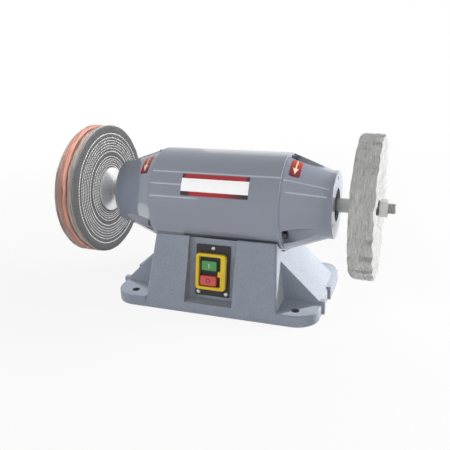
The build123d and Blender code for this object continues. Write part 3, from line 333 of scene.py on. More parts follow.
def housing_paint():
    """Gloss grey enamel with a faint orange peel under a clear coat, and painted shade in a dark band along
    the saddle, where the barrel meets the base.
    """
    sockets = {"Coat Weight": 1.0, "Coat Roughness": 0.05, "Coat IOR": 1.7, "Specular IOR Level": 0.1}
    finish = Finish("housing_paint", sockets)
    enamel, shadow = srgb(133, 140, 155), srgb(84, 87, 94)
    parts = finish.parts(finish.place)
    # Painted shade: bead is a mask that darkens the barrel just above the saddle, between its ends, in place
    # of the shade in the joint
    low_down = finish.fade(parts["Z"], SHADE_TOP, SHADE_FULL)
    aside = finish.math("ABSOLUTE", parts["X"])
    between = finish.fade(aside, SADDLE_HALF + SOFT_EDGE, SADDLE_HALF - SOFT_EDGE)
    bead = finish.times(low_down, between)
    finish.give({
        "Base Color": finish.mix(bead, finish.mottle(enamel, scale=8.0, spread=0.05), shadow),
        "Roughness": finish.vary(finish.noise(finish.place, 40.0, detail=3.0), 0.42, 0.5),
    })
    finish.bump(finish.grain(380.0)["Height"], 0.02 * MM)


bench_holes = next(mount for mount in frame["record"]["mounts"] if mount["name"] == "bench_holes")["dims"]
HOLE_X = bench_holes["spacing_x_mm"] / 2 * MM
HOLE_Y = bench_holes["spacing_y_mm"] / 2 * MM
HOLE_R = bench_holes["hole_r_mm"] * MM
HOLE_EDGE = HOLE_R + 0.1 * MM


def base_paint():
    """Satin grey paint over the grain of the casting, with painted shade that darkens its bench holes."""
    finish = Finish("base_paint", {})
    paint, pit, hole_shade = srgb(143, 150, 163), srgb(130, 137, 150), srgb(36, 38, 43)
    grain = finish.grain(420.0)
    pitted = finish.mix(grain["Pits"], finish.mottle(paint, scale=32.0, spread=0.15), pit)
    parts = finish.parts(finish.place)
    # Painted shade: the paint turns near black inside the bench holes
    aside = finish.minus(finish.math("ABSOLUTE", parts["X"]), HOLE_X)
    ahead = finish.minus(finish.math("ABSOLUTE", parts["Y"]), HOLE_Y)
    hole_shade_mask = finish.fade(finish.distance(aside, ahead), HOLE_R + SOFT_EDGE, HOLE_EDGE)
    finish.give({
        "Base Color": finish.mix(hole_shade_mask, pitted, hole_shade),
        "Roughness": finish.vary(grain["Height"], 0.6, 0.5),
    })
    finish.bump(grain["Height"], 0.22 * MM)


def turned_metal(name, colour, smooth, rough, depth):
    """Bare metal with the rings of a lathe tool, as deep as depth in millimetres."""
    finish = Finish(name, {"Metallic": 1.0})
    rings = finish.rings(2600.0)
    finish.give({
        "Base Color": finish.mottle(srgb(*colour), scale=45.0, spread=0.12),
        "Roughness": finish.vary(rings, smooth, rough),
    })
    finish.bump(rings, depth * MM)


def pale_zinc():
    """The bright turned face of the inner flanges, which shines in a fan above and below the spindle."""
    finish = Finish("pale_zinc", {"Metallic": 0.85, "Anisotropic": 0.7})
    rings = finish.rings(1800.0)
    finish.give({
        "Base Color": finish.mottle(srgb(244, 244, 243), scale=45.0, spread=0.05),
        "Roughness": finish.vary(rings, 0.34, 0.44),
        "Tangent": finish.from_spindle(),
    })
    finish.bump(rings, 0.02 * MM)


def moulded_plastic(name, colour, roughness, coat=0.0):
    """Plastic with a fine moulded grain."""
    finish = Finish(name, {"Coat Weight": coat, "Coat Roughness": 0.15})
    height = finish.grain(1500.0)["Height"]
    finish.give({
        "Base Color": finish.mottle(srgb(*colour), scale=60.0, spread=0.14),
        "Roughness": finish.vary(height, roughness, roughness + 0.12),
    })
    finish.bump(height, 0.03 * MM)


SEAL_LIP_R = 19.0 * MM
SEAL_EDGE = 0.2 * MM


def steel_cased_rubber():
    """Black rubber lips inside a steel case, told apart by how far they are from the spindle's axis."""
    finish = Finish("steel_cased_rubber", {})
    rubber, steel = srgb(34, 34, 36), srgb(176, 178, 182)
    parts = finish.parts(finish.place)
    radius = finish.distance(parts["Y"], finish.minus(parts["Z"], AXIS_Z))
    cased = finish.fade(radius, SEAL_LIP_R - SEAL_EDGE, SEAL_LIP_R + SEAL_EDGE)
    finish.give({
        "Base Color": finish.mix(cased, finish.mottle(rubber, scale=60.0, spread=0.2), steel),
        "Metallic": cased,
        "Roughness": finish.fade(cased, 0.0, 1.0, 0.7, 0.38),
    })


def printed_sheet(name, colours):
    """A glossy print whose colour comes from a function of its maker and its two UV parts."""
    finish = Finish(name, {"Coat Weight": 0.15, "Coat Roughness": 0.1})
    parts = finish.parts(finish.uv)
    ink = colours(finish, parts["X"], parts["Y"])
    finish.give({
        "Base Color": finish.mottle(ink, scale=90.0, spread=0.08),
        "Roughness": finish.vary(finish.noise(finish.place, 120.0), 0.28, 0.38),
    })


# Edges of the plate's bars, as shares of its height, and where the bars darken, as shares of its width
LOW_BAR = (0.2, 0.185)
HIGH_BAR = (0.775, 0.79)
LOW_BAR_ENDS = ((0.16, 0.1), (0.6, 0.92))
HIGH_BAR_ENDS = ((0.05, 0.03), (0.92, 0.97))


def plate_colours(make, u, v):
    """A bare white field between two red bars that darken towards their ends."""
    shade, red, dark = srgb(248, 247, 248), srgb(152, 14, 26), srgb(34, 12, 20)
    for bar, (left, right) in ((LOW_BAR, LOW_BAR_ENDS), (HIGH_BAR, HIGH_BAR_ENDS)):
        darkened = make.larger(make.fade(u, *left), make.fade(u, *right))
        shade = make.mix(make.fade(v, *bar), shade, make.mix(darkened, red, dark))
    return shade


STICKER_SLANT = 0.15


def sticker_colours(make, u, v):
    """Orange red at the top that deepens to crimson at the bottom."""
    crimson, red, orange = srgb(104, 5, 32), srgb(150, 17, 32), srgb(200, 68, 32)
    along = make.plus(v, make.times(u, STICKER_SLANT))
    deep = make.mix(make.fade(along, 0.1, 0.5), crimson, red)
    return make.mix(make.fade(along, 0.5, 1.05), deep, orange)


def felt(name, colour, pale, along, across, depth):
    """Cloth of one ply, with threads along the piece's UV that stand proud by depth in millimetres."""
    finish = Finish(name, {"Sheen Weight": 0.12, "Sheen Roughness": 0.5, "Roughness": 0.9})
    threads = finish.use("fibres", {"Vector": finish.uv, "Along": along, "Across": across})
    shade = finish.mix(threads["Mask"], srgb(*colour), srgb(*pale))
    finish.give({"Base Color": finish.mottle(shade, scale=70.0, spread=0.45)})
    finish.bump(threads["Height"], depth * MM)


# Colours across the left wheel's rim, by their share of its width
RIM_BANDS = (
    (0.0, (150, 130, 122)), (0.2, (164, 144, 135)), (0.25, (178, 132, 120)), (0.34, (188, 136, 122)),
    (0.38, (222, 166, 148)), (0.47, (208, 147, 130)), (0.5, (112, 88, 82)), (0.56, (108, 90, 86)),
    (0.6, (184, 158, 147)), (0.68, (166, 153, 145)), (0.73, (152, 147, 142)), (0.82, (142, 139, 135)),
    (0.87, (114, 114, 114)), (1.0, (106, 106, 108)),
)
ORANGE_AT = 0.42
NEARER_ORANGE = 0.42
NEARER_AT_TOP = 0.6
LOW_SHIFT = 0.22
HIGH_SHIFT = 0.1
BAND_DRIFT = 0.22
THREAD_DRIFT = 0.14


def ply_edges():
    """The cut edges of the left wheel's plies: bands of dyed cloth and sisal that wander across the rim.
    The orange band is wider and moves over towards the top and the bottom of the wheel."""
    finish = Finish("ply_edges", {"Sheen Weight": 0.2, "Sheen Roughness": 0.5, "Roughness": 0.92})
    parts = finish.parts(finish.place)
    across = finish.fade(parts["X"], left_low.x, left_high.x)
    threads = finish.streaks(1500.0, 45.0, detail=3.0)
    cords = finish.streaks(520.0, 22.0)
    drift = finish.streaks(40.0, 16.0)
    low_down = finish.fade(parts["Z"], AXIS_Z - 0.3 * WHEEL_R, AXIS_Z - 0.95 * WHEEL_R)
    high_up = finish.fade(parts["Z"], AXIS_Z + 0.4 * WHEEL_R, AXIS_Z + WHEEL_R)
    either = finish.larger(low_down, finish.times(high_up, NEARER_AT_TOP))
    nearer = finish.fade(either, 0.0, 1.0, 1.0, NEARER_ORANGE)
    shift = finish.plus(finish.times(low_down, LOW_SHIFT), finish.times(high_up, HIGH_SHIFT))
    from_orange = finish.minus(finish.minus(across, ORANGE_AT), shift)
    moved = finish.plus(finish.times(from_orange, nearer), ORANGE_AT)
    for texture, reach in ((drift, BAND_DRIFT), (threads, THREAD_DRIFT)):
        moved = finish.plus(moved, finish.times(finish.minus(texture, 0.5), reach))
    ramp = finish.add("ShaderNodeValToRGB", {"Fac": moved})
    stops = ramp.color_ramp.elements
    stops.remove(stops[1])
    stops[0].position = RIM_BANDS[0][0]
    stops[0].color = srgb(*RIM_BANDS[0][1])
    for position, colour in RIM_BANDS[1:]:
        stops.new(position).color = srgb(*colour)
    factor = finish.times(finish.vary(threads, 0.66, 1.34), finish.vary(cords, 0.78, 1.38))
    finish.give({"Base Color": finish.scaled(ramp.outputs["Color"], factor)})
    finish.bump(threads, 0.5 * MM)


# Each metal's colour, its smoothest and roughest, and the depth of its rings in millimetres
TURNED_METALS = {
    "bright_steel": ((196, 196, 195), 0.26, 0.42, 0.02),
    "dark_steel": ((164, 164, 161), 0.28, 0.45, 0.03),
    "thread_steel": ((112, 112, 110), 0.5, 0.65, 0.02),
    "bearing_steel": ((215, 215, 217), 0.1, 0.2, 0.005),
    "laminated_steel": ((120, 120, 124), 0.4, 0.6, 0.1),
    "winding_copper": ((176, 98, 52), 0.25, 0.5, 0.2),
    "cast_aluminium": ((190, 192, 195), 0.4, 0.6, 0.05),
    "black_screw_steel": ((78, 80, 84), 0.24, 0.4, 0.02),
}
# Each plastic's colour, its roughness and, where it has one, its clear coat
MOULDED_PLASTICS = {
    "black_rubber": ((34, 34, 36), 0.7),
    "black_plastic": ((34, 33, 38), 0.42),
    "yellow_plastic": ((226, 190, 34), 0.36, 0.3),
    "green_plastic": ((78, 146, 84), 0.34, 0.2),
    "red_plastic": ((208, 86, 84), 0.34, 0.2),
    "pale_green_mark": ((150, 205, 158), 0.4),
    "deep_red_mark": ((150, 38, 46), 0.4),
    "grey_plastic": ((188, 188, 188), 0.45),
    "cream_print": ((246, 226, 196), 0.4),
}
# Each cloth's two thread colours, its threads per metre along and across, and their depth in millimetres
CLOTHS = {
    "dark_felt": ((88, 88, 90), (116, 116, 118), 700.0, 900.0, 0.25),
    "brown_cloth": ((112, 92, 84), (150, 128, 116), 30.0, 1600.0, 0.3),
    "white_thread": ((222, 221, 217), (246, 245, 241), 900.0, 900.0, 0.1),
    "loose_cotton": ((133, 133, 132), (164, 164, 163), 60.0, 900.0, 0.5),
}
housing_paint()
base_paint()
pale_zinc()
steel_cased_rubber()
ply_edges()
printed_sheet("name_plate_print", plate_colours)
printed_sheet("arrow_print", sticker_colours)
for metal, values in TURNED_METALS.items():
    turned_metal(metal, *values)
for plastic, values in MOULDED_PLASTICS.items():
    moulded_plastic(plastic, *values)
for cloth, values in CLOTHS.items():
    felt(cloth, *values)

NODE_FINISHES = {
    "left_polishing_wheel": "dark_felt",
    "left_inner_flange": "pale_zinc",
    "right_inner_flange": "pale_zinc",
    "left_cap_screws": "black_screw_steel",
    "right_cap_screws": "black_screw_steel",
    "left_lock_washer": "thread_steel",
    "right_lock_washer": "thread_steel",
    "left_dust_seal": "steel_cased_rubber",
    "right_dust_seal": "steel_cased_rubber",
}


def dress_solids():
    """Give every solid its own finish, or else the one that is named as its slot."""
    for part in frame["record"]["subparts"]:
        mesh = nodes[part["node"]].data
        mesh.materials.clear()
        mesh.materials.append(FINISHES[NODE_FINISHES.get(part["node"], part["material_slot"])])


# Meshes

SHARP_ANGLE = math.radians(40)


def new_piece(name, data):
    """An object in the scene for a mesh, a lamp or a camera."""
    piece = bpy.data.objects.new(name, data)
    bpy.context.scene.collection.objects.link(piece)
    return piece


def finished(name, mesh, body, slot, *replaced):
    """A finished piece that rides on its body and stands for the nodes it replaces. Its slot argument is not
    used.
    """
    piece = new_piece(name, mesh)
    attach(piece, body)
    if replaced:
        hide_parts(*replaced)
    return piece


def wire_mesh(name, spots, edges=()):
    """A mesh of bare points, with wires between them where there are edges."""
    mesh = bpy.data.meshes.new(name)
    mesh.from_pydata(spots, edges, [])
    return mesh


def mark_points(mesh, label, values):
    """Keep one value for each point of a mesh."""
    mesh.attributes.new(label, "FLOAT", "POINT").data.foreach_set("value", values)


def plain_mesh(name, shell, finishes, chosen=None):
    """A mesh from points, faces and a UV per face corner, smooth up to its sharp edges. chosen holds the
    number of each face's finish, where there is more than one."""
    verts, faces, uvs = shell
    mesh = bpy.data.meshes.new(name)
    mesh.from_pydata(verts, [], faces)
    layer = mesh.uv_layers.new(name="UVMap")
    layer.data.foreach_set("uv", [part for corner in uvs for part in corner])
    for finish in finishes:
        mesh.materials.append(FINISHES[finish])
    mesh.polygons.foreach_set("material_index", chosen or [0] * len(faces))
    mesh.shade_smooth()
    mesh.set_sharp_from_angle(angle=SHARP_ANGLE)
    mesh.validate()
    return mesh


def ring_shell(corners, steps, point):
    """The points, faces and UVs of a closed section swept once round. point(i, turn) places
    corner i of the section at a share of the turn."""
    verts = [point(i, step / steps) for step in range(steps) for i in range(corners)]
    along = [0.0]
    for i in range(corners):
        along.append(along[-1] + (verts[i] - verts[(i + 1) % corners]).length)
    girth = max(math.hypot(v.y, v.z - AXIS_Z) for v in verts[:corners]) * FULL_TURN
    faces, uvs = [], []
    for step in range(steps):
        here, there = step * corners, (step + 1) % steps * corners
        u_here, u_there = girth * step / steps, girth * (step + 1) / steps
        for i in range(corners):
            after = (i + 1) % corners
            faces.append((here + i, here + after, there + after, there + i))
            uvs += [(u_here, along[i]), (u_here, along[i + 1]), (u_there, along[i + 1]), (u_there, along[i])]
    return verts, faces, uvs


def round_spindle(x, radius, angle):
    """The point at x along the spindle and radius from it. Angle 0 is the front, a quarter turn the top."""
    return Vector((x, -radius * math.cos(angle), AXIS_Z + radius * math.sin(angle)))


def soften(name, width, segments=2, from_angle=35.0):
    """Round the edges of a solid's own mesh that are sharper than an angle in degrees."""
    steps = {
        "WELD": {"merge_threshold": 0.001 * MM},
        "DECIMATE": {"decimate_type": "DISSOLVE", "angle_limit": math.radians(0.5)},
        "BEVEL": {
            "width": width, "segments": segments, "limit_method": "ANGLE",
            "angle_limit": math.radians(from_angle), "use_clamp_overlap": True,
        },
        "WEIGHTED_NORMAL": {"keep_sharp": True},
    }
    for kind, settings in steps.items():
        set_all(nodes[name].modifiers.new(kind, kind), settings)


# Geometry trees


def geometry_tree(name, inputs):
    """A geometry tree with named inputs, as its maker, what it is given and what it puts out."""
    sockets = {"Geometry": "geometry", **inputs, "Material": "material"}
    return node_group(name, "GeometryNodeTree", sockets, {"Geometry": "geometry"})


def random_between(make, kind, low, high, seed):
    """A random value or vector for each point."""
    node = make.add("FunctionNodeRandomValue", data_type=kind)
    live = {socket.name: socket for socket in node.inputs if socket.enabled}
    make.feed(live["Min"], low)
    make.feed(live["Max"], high)
    make.feed(live["Seed"], seed)
    return next(socket for socket in node.outputs if socket.enabled)


def turned_more(make, rotation, angles):
    """A rotation with a further turn in its own frame."""
    turn = make.out("FunctionNodeEulerToRotation", {0: angles})
    feeds = {"Rotation": rotation, "Rotate By": turn}
    return make.out("FunctionNodeRotateRotation", feeds, rotation_space="LOCAL")


def close_tree(make, given, result, feeds):
    """Instances laid out as feeds say, made real, shaded smooth and given their finish."""
    placed = make.out("GeometryNodeInstanceOnPoints", feeds)
    real = make.out("GeometryNodeRealizeInstances", {"Geometry": placed})
    smooth = make.out("GeometryNodeSetShadeSmooth", {"Geometry": real})
    done = make.out("GeometryNodeSetMaterial", {"Geometry": smooth, "Material": given["Material"]})
    make.feed(result["Geometry"], done)
    return make.tree


STITCH_SWAY = (0.05, 0.05, 0.12)
STITCH_STRETCH = (0.88, 1.1)


def stitch_tree():
    """Stitches laid end to end along every loop of wire, thicker where the wire's weight says so."""
    inputs = {"Pitch": "value", "Length": "value", "Width": "value", "Height": "value", "Seed": "count"}
    make, given, result = geometry_tree("stitches", inputs)
    curve = make.out("GeometryNodeMeshToCurve", {"Mesh": given["Geometry"]})
    spaced = make.out("GeometryNodeResampleCurve", {"Curve": curve, "Length": given["Pitch"]}, mode="LENGTH")
    bead = make.out("GeometryNodeMeshUVSphere", {"Segments": 6, "Rings": 5, "Radius": 0.5})
    tangent = make.out("GeometryNodeInputTangent")
    along = make.out("FunctionNodeAlignRotationToVector", {"Vector": tangent}, axis="X")
    feeds = {"Rotation": along, "Vector": ALONG_SPINDLE}
    upright = make.out("FunctionNodeAlignRotationToVector", feeds, axis="Z", pivot_axis="X")
    back = tuple(-part for part in STITCH_SWAY)
    sway = random_between(make, "FLOAT_VECTOR", back, STITCH_SWAY, given["Seed"])
    weight = make.out("GeometryNodeInputNamedAttribute", {"Name": "weight"}, data_type="FLOAT")
    longer = random_between(make, "FLOAT", *STITCH_STRETCH, given["Seed"])
    factors = {"Length": longer, "Width": weight, "Height": weight}
    size = make.vector(*(make.times(given[label], factor) for label, factor in factors.items()))
    loose = turned_more(make, upright, sway)
    feeds = {"Points": spaced, "Instance": bead, "Rotation": loose, "Scale": size}
    return close_tree(make, given, result, feeds)


FIBRE_SHAPE = {"Vertices": 3, "Side Segments": 1, "Radius Top": 0.12, "Radius Bottom": 0.5, "Depth": 1.0}
FIBRE_REACH = (0.3, 1.0)


def lint_tree():
    """Short fibres that stand up from the faces whose rim attribute is set."""
    inputs = {"Density": "value", "Length": "value", "Thickness": "value", "Lean": "vector", "Seed": "count"}
    make, given, result = geometry_tree("lint", inputs)
    rim = make.out("GeometryNodeInputNamedAttribute", {"Name": "rim"}, data_type="FLOAT")
    density = make.times(given["Density"], rim)
    feeds = {"Mesh": given["Geometry"], "Density": density, "Seed": given["Seed"]}
    spots = make.add("GeometryNodeDistributePointsOnFaces", feeds).outputs
    fibre = make.out("GeometryNodeMeshCone", FIBRE_SHAPE, fill_type="NONE")
    back = make.stretch(given["Lean"], (-1.0, -1.0, -1.0))
    bend = random_between(make, "FLOAT_VECTOR", back, given["Lean"], given["Seed"])
    leaning = turned_more(make, spots["Rotation"], bend)
    reach = make.times(given["Length"], random_between(make, "FLOAT", *FIBRE_REACH, given["Seed"]))
    size = make.vector(given["Thickness"], given["Thickness"], reach)
    feeds = {"Points": spots["Points"], "Instance": fibre, "Rotation": leaning, "Scale": size}
    return close_tree(make, given, result, feeds)


COIL_STEPS = 40


def wound_tree():
    """A wire or a thread's ridge, wound along X from each corner of the mesh that it is given."""
    inputs = {"Radius": "value", "Pitch": "value", "Turns": "value", "Crest": "value", "Sides": "count"}
    make, given, result = geometry_tree("wound wire", inputs)
    coil = make.out("GeometryNodeCurveSpiral", {
        "Resolution": COIL_STEPS, "Rotations": given["Turns"], "Start Radius": given["Radius"],
        "End Radius": given["Radius"], "Height": make.times(given["Pitch"], given["Turns"]),
    })
    upright = make.out("GeometryNodeSetCurveNormal", {"Curve": coil}, mode="Z_UP")
    feeds = {"Resolution": given["Sides"], "Radius": given["Crest"]}
    ridge = make.out("GeometryNodeCurvePrimitiveCircle", feeds)
    feeds = {"Curve": upright, "Profile Curve": ridge, "Fill Caps": True}
    wound = make.out("GeometryNodeCurveToMesh", feeds)
    laid = make.out("GeometryNodeTransform", {"Geometry": wound, "Rotation": (0.0, math.pi / 2, 0.0)})
    return close_tree(make, given, result, {"Points": given["Geometry"], "Instance": laid})


ARM_LENGTH = 1.1
ARM_WIDTH = 0.26
MOST_DRIVEN = 1.5


def screw_tree():
    """A screw on each point: a domed head with a cross recess, and a shank behind it."""
    inputs = {
        "Head Radius": "value", "Head Height": "value", "Shank Radius": "value", "Shank Length": "value",
        "Rotation": "vector", "Seed": "count",
    }
    make, given, result = geometry_tree("cross screws", inputs)
    radius, height = given["Head Radius"], given["Head Height"]
    ball = make.out("GeometryNodeMeshUVSphere", {"Segments": 32, "Rings": 16, "Radius": 1.0})
    dome = make.out("GeometryNodeTransform", {"Geometry": ball, "Scale": make.vector(radius, radius, height)})
    top = make.vector(z=height)
    arms = make.add("GeometryNodeJoinGeometry")
    long_arm = make.times(radius, ARM_LENGTH)
    short_arm = make.times(radius, ARM_WIDTH)
    for across, along in ((long_arm, short_arm), (short_arm, long_arm)):
        arm = make.out("GeometryNodeMeshCube", {"Size": make.vector(across, along, height)})
        raised = make.out("GeometryNodeTransform", {"Geometry": arm, "Translation": top})
        make.feed(arms.inputs[0], raised)
    feeds = {"Mesh 1": dome, "Mesh 2": arms.outputs[0]}
    head = make.out("GeometryNodeMeshBoolean", feeds, operation="DIFFERENCE")
    feeds = {"Vertices": 20, "Radius": given["Shank Radius"], "Depth": given["Shank Length"]}
    rod = make.out("GeometryNodeMeshCylinder", feeds)
    behind = make.vector(z=make.times(given["Shank Length"], -0.5))
    shank = make.out("GeometryNodeTransform", {"Geometry": rod, "Translation": behind})
    whole = make.add("GeometryNodeJoinGeometry")
    for part in (head, shank):
        make.feed(whole.inputs[0], part)
    driven = random_between(make, "FLOAT_VECTOR", (0.0, 0.0, 0.0), (0.0, 0.0, MOST_DRIVEN), given["Seed"])
    facing = make.out("FunctionNodeEulerToRotation", {0: given["Rotation"]})
    turned = turned_more(make, facing, driven)
    feeds = {"Points": given["Geometry"], "Instance": whole.outputs[0], "Rotation": turned}
    return close_tree(make, given, result, feeds)


def grow(source, tree, finish, values):
    """The plain mesh that a tree makes of a source mesh, with its finish and its named inputs set."""
    values = {**values, "Material": FINISHES[finish]}
    holder = new_piece(source.name + "_holder", source)
    modifier = holder.modifiers.new("grow", "NODES")
    modifier.node_group = tree
    for item in tree.interface.items_tree:
        if item.in_out == "INPUT" and item.name in values:
            modifier[item.identifier] = values[item.name]
    graph = bpy.context.evaluated_depsgraph_get()
    mesh = bpy.data.meshes.new_from_object(holder.evaluated_get(graph))
    holder.modifiers.remove(modifier)
    bpy.data.objects.remove(holder)
    return mesh


STITCHES = stitch_tree()
LINT = lint_tree()
SCREWS = screw_tree()
WOUND = wound_tree()


# Soft wheels

LINT_SHAPE = {"Thickness": 0.12 * MM, "Lean": (1.2, 1.2, 0.5)}


def wobble(kind, turn, row=0.0):
    """How far cloth wanders at a share of the turn, closing on itself once round. A kind is its size in
    millimetres, how busy it is, and its place in the noise: that of row 0 and the step from row to row."""
    size, busy, start, step = kind
    angle = FULL_TURN * turn
    spot = Vector((busy * math.cos(angle), busy * math.sin(angle), start + step * row))
    return size * MM * noise.noise(spot)


def wheel_lint(name, mesh, slot, finish, fibres):
    """The lint on the rim of a wheel's mesh."""
    fuzz = grow(mesh.copy(), LINT, finish, {**LINT_SHAPE, **fibres})
    finished(name, fuzz, "rotor", slot)


# Left wheel: laminated cloth, stitched in rings

WHEEL_STEPS = 216
FACE_R = WHEEL_R - 2 * MM
LOOSE_WITHIN = 12 * MM
WHEEL_LEAN = 2.2 * MM
TOP_WEAR = 5.5 * MM
LEFT_POCKET_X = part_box("left_outer_flange")[1].x
# The stitches' rows, from the rim inwards: share of the wheel's radius, and thickness of the thread
STITCH_ROWS = (
    (0.869, 1.3), (0.803, 1.0), (0.762, 1.0), (0.721, 1.0), (0.68, 1.0), (0.64, 1.0),
    (0.59, 1.3), (0.51, 1.0), (0.47, 1.0), (0.44, 1.0), (0.405, 1.0), (0.37, 1.0),
)
STITCH_LIFT = 0.1 * MM
QUILT = 0.55 * MM
QUILT_STEPS = 4
QUILT_FULLNESS = 0.7
# The plies, from the inner face outwards: width, and how far short of the rim they end, in millimetres
PLIES = (
    (3.5, 0.0), (3.0, 0.6), (3.0, 0.2), (1.7, 0.9), (1.6, 0.4), (1.7, 0.8), (1.5, 1.4),
    (2.4, 0.5), (2.3, 0.1), (2.4, 0.4), (2.4, 0.2), (4.0, 0.6), (4.0, 0.3),
)
# The round edge of one ply: share of its width, and how far it drops, in millimetres
PLY_EDGE = ((0.02, 0.9), (0.2, 0.12), (0.5, 0.0), (0.8, 0.12))
PLY_FINISHES = ("dark_felt", "brown_cloth", "ply_edges")
INNER, OUTER, RIM = range(3)
# The plies count as rows from this one on
RIM_ROW = 40
# Kinds of wobble
RIM_LUMPS = (0.45, 9.0, 0.0, 1.3)
RIM_FRAYS = (0.3, 30.0, 0.0, 2.1)
RIM_SWAY = (0.35, 5.0, 0.0, 0.7)
ROW_WANDER = (0.45, 4.0, 0.0, 1.7)
FACE_RIPPLE = (0.12, 22.0, 0.0, 1.1)


def quilted_face(x, side, finish):
    """Section corners of a stitched face from the bore outwards: (x, radius, row, finish)."""
    radii = sorted(share * WHEEL_R for share, weight in STITCH_ROWS)
    corners = []
    for row, (radius, after) in enumerate(zip(radii, radii[1:] + [FACE_R])):
        for part in range(QUILT_STEPS):
            share = part / QUILT_STEPS
            lift = QUILT * math.sin(math.pi * share) ** QUILT_FULLNESS
            corners.append((x + side * lift, radius + (after - radius) * share, row + share, finish))
    return corners


def rim_corners():
    """Section corners of the plies at the rim, from the inner face to the outer one."""
    corners = []
    x = left_high.x
    for number, (width, short) in enumerate(PLIES):
        for share, drop in PLY_EDGE:
            radius = WHEEL_R - short * MM - drop * MM
            corners.append((x - width * MM * share, radius, RIM_ROW + number, RIM))
        x -= width * MM
    return corners


def left_wheel_section():
    """The closed section of the stitched wheel: inner face, rim, outer face, pocket and bore."""
    section = [(left_high.x, BORE_R, 0, INNER)]
    section += quilted_face(left_high.x, 1, INNER)
    section += rim_corners()
    section += reversed(quilted_face(left_low.x, -1, OUTER))
    for x, radius in ((left_low.x, POCKET_R), (LEFT_POCKET_X, POCKET_R), (LEFT_POCKET_X, BORE_R)):
        section.append((x, radius, 0, OUTER))
    return section


def lean(x, radius, turn):
    """How far the soft wheel leans along the spindle, from nothing at its flanges. Its outer side is
    worn at the top."""
    share = max(0.0, radius - POCKET_R) / (WHEEL_R - POCKET_R)
    outward = (left_high.x - x) / (left_high.x - left_low.x)
    angle = FULL_TURN * turn
    worn = TOP_WEAR * outward * max(0.0, math.sin(angle)) ** 2
    return share * (worn - WHEEL_LEAN * math.cos(angle))


def left_wheel():
    """The stitched wheel, with its stitches and the lint of its rim."""
    section = left_wheel_section()

    def point(i, turn):
        x, radius, row, finish = section[i]
        x += lean(x, radius, turn)
        if finish == RIM:
            radius += wobble(RIM_LUMPS, turn, row) + wobble(RIM_FRAYS, turn, row)
            x += wobble(RIM_SWAY, turn, row)
        else:
            loose = min(1.0, max(0.0, (radius - POCKET_R) / LOOSE_WITHIN))
            radius += loose * wobble(ROW_WANDER, turn, round(row))
            x += loose * wobble(FACE_RIPPLE, turn, row)
        return round_spindle(x, radius, FULL_TURN * turn)

    shell = ring_shell(len(section), WHEEL_STEPS, point)
    chosen = [finish for x, radius, row, finish in section] * WHEEL_STEPS
    mesh = plain_mesh("left_stitched_wheel", shell, PLY_FINISHES, chosen)
    mark_points(mesh, "rim", [float(finish == RIM) for finish in chosen])
    wheel = finished("left_stitched_wheel", mesh, "rotor", "stitched_cloth", "left_polishing_wheel")
    wheel_stitches()
    fibres = {"Density": 260000.0, "Length": 1.6 * MM, "Seed": 5}
    wheel_lint("left_wheel_lint", mesh, "stitched_cloth", "brown_cloth", fibres)


def wheel_stitches():
    """The rows of thread on both faces of the stitched wheel."""
    corners, edges, weights = [], [], []
    for x, lift in ((left_high.x, STITCH_LIFT), (left_low.x, -STITCH_LIFT)):
        for row, (share, weight) in enumerate(reversed(STITCH_ROWS)):
            start = len(corners)
            for step in range(WHEEL_STEPS):
                turn = step / WHEEL_STEPS
                radius = share * WHEEL_R + wobble(ROW_WANDER, turn, row)
                corners.append(round_spindle(x + lift + lean(x, radius, turn), radius, FULL_TURN * turn))
                edges.append((start + step, start + (step + 1) % WHEEL_STEPS))
                weights.append(weight)
    wires = wire_mesh("stitch_wires", corners, edges)
    mark_points(wires, "weight", weights)
    values = {"Pitch": 4.4 * MM, "Length": 4.5 * MM, "Width": 2.0 * MM, "Height": 1.0 * MM, "Seed": 3}
    stitches = grow(wires, STITCHES, "white_thread", values)
    finished("left_wheel_stitches", stitches, "rotor", "stitched_cloth")


# Right wheel: loose cotton discs that flare towards the rim

COTTON_DISCS = 26
COTTON_STEPS = 220
FLARE_START = POCKET_R
FLARE_END = 62 * MM
DISC_RADII = (BORE_R, POCKET_R, 46 * MM, 54 * MM, FLARE_END, 90 * MM, 97 * MM, WHEEL_R)
RIM_FROM = 98 * MM
RIGHT_HUB_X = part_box("right_inner_flange")[1].x
RIGHT_POCKET_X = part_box("right_outer_flange")[0].x
DISC_GAP = 0.06
EDGE_GAP = 0.18
DISC_UV_STEP = 0.01
PITS_ABOVE = 1.25 * MM
EDGE_SHORT = 0.7 * MM
CORNER_ROUND = 1.0 * MM
CORNER_WEAR = 4.0 * MM
# Kinds of wobble
INNER_SWAY = (1.2, 5.0, 1.0, 0.0)
OUTER_SWAY = (2.2, 7.0, 9.0, 0.0)
OUTER_FLUTTER = (1.0, 15.0, 17.0, 0.0)
RUFFLES = (0.5, 12.0, 5.0, 6.0)
EDGE_LUMPS = (0.9, 9.0, 0.0, 5.0)
EDGE_BUMPS = (0.7, 22.0, 0.0, 13.0)
EDGE_FRAYS = (0.5, 60.0, 0.0, 4.1)
EDGE_PITS = (5.0, 18.0, 31.0, 9.0)


def disc_side(number, radius, turn):
    """Where the side between two cotton discs lies along the spindle."""
    share = number / COTTON_DISCS
    flare = min(1.0, max(0.0, (radius - FLARE_START) / (FLARE_END - FLARE_START)))
    flare = flare * flare * (3 - 2 * flare)
    low = RIGHT_HUB_X + (right_low.x - RIGHT_HUB_X) * flare
    high = RIGHT_POCKET_X + (right_high.x - RIGHT_POCKET_X) * flare
    inner_sway = wobble(INNER_SWAY, turn)
    outer_sway = wobble(OUTER_SWAY, turn) + wobble(OUTER_FLUTTER, turn)
    sway = (1 - share) * inner_sway + share * outer_sway + wobble(RUFFLES, turn, share)
    return low + (high - low) * share + sway * flare


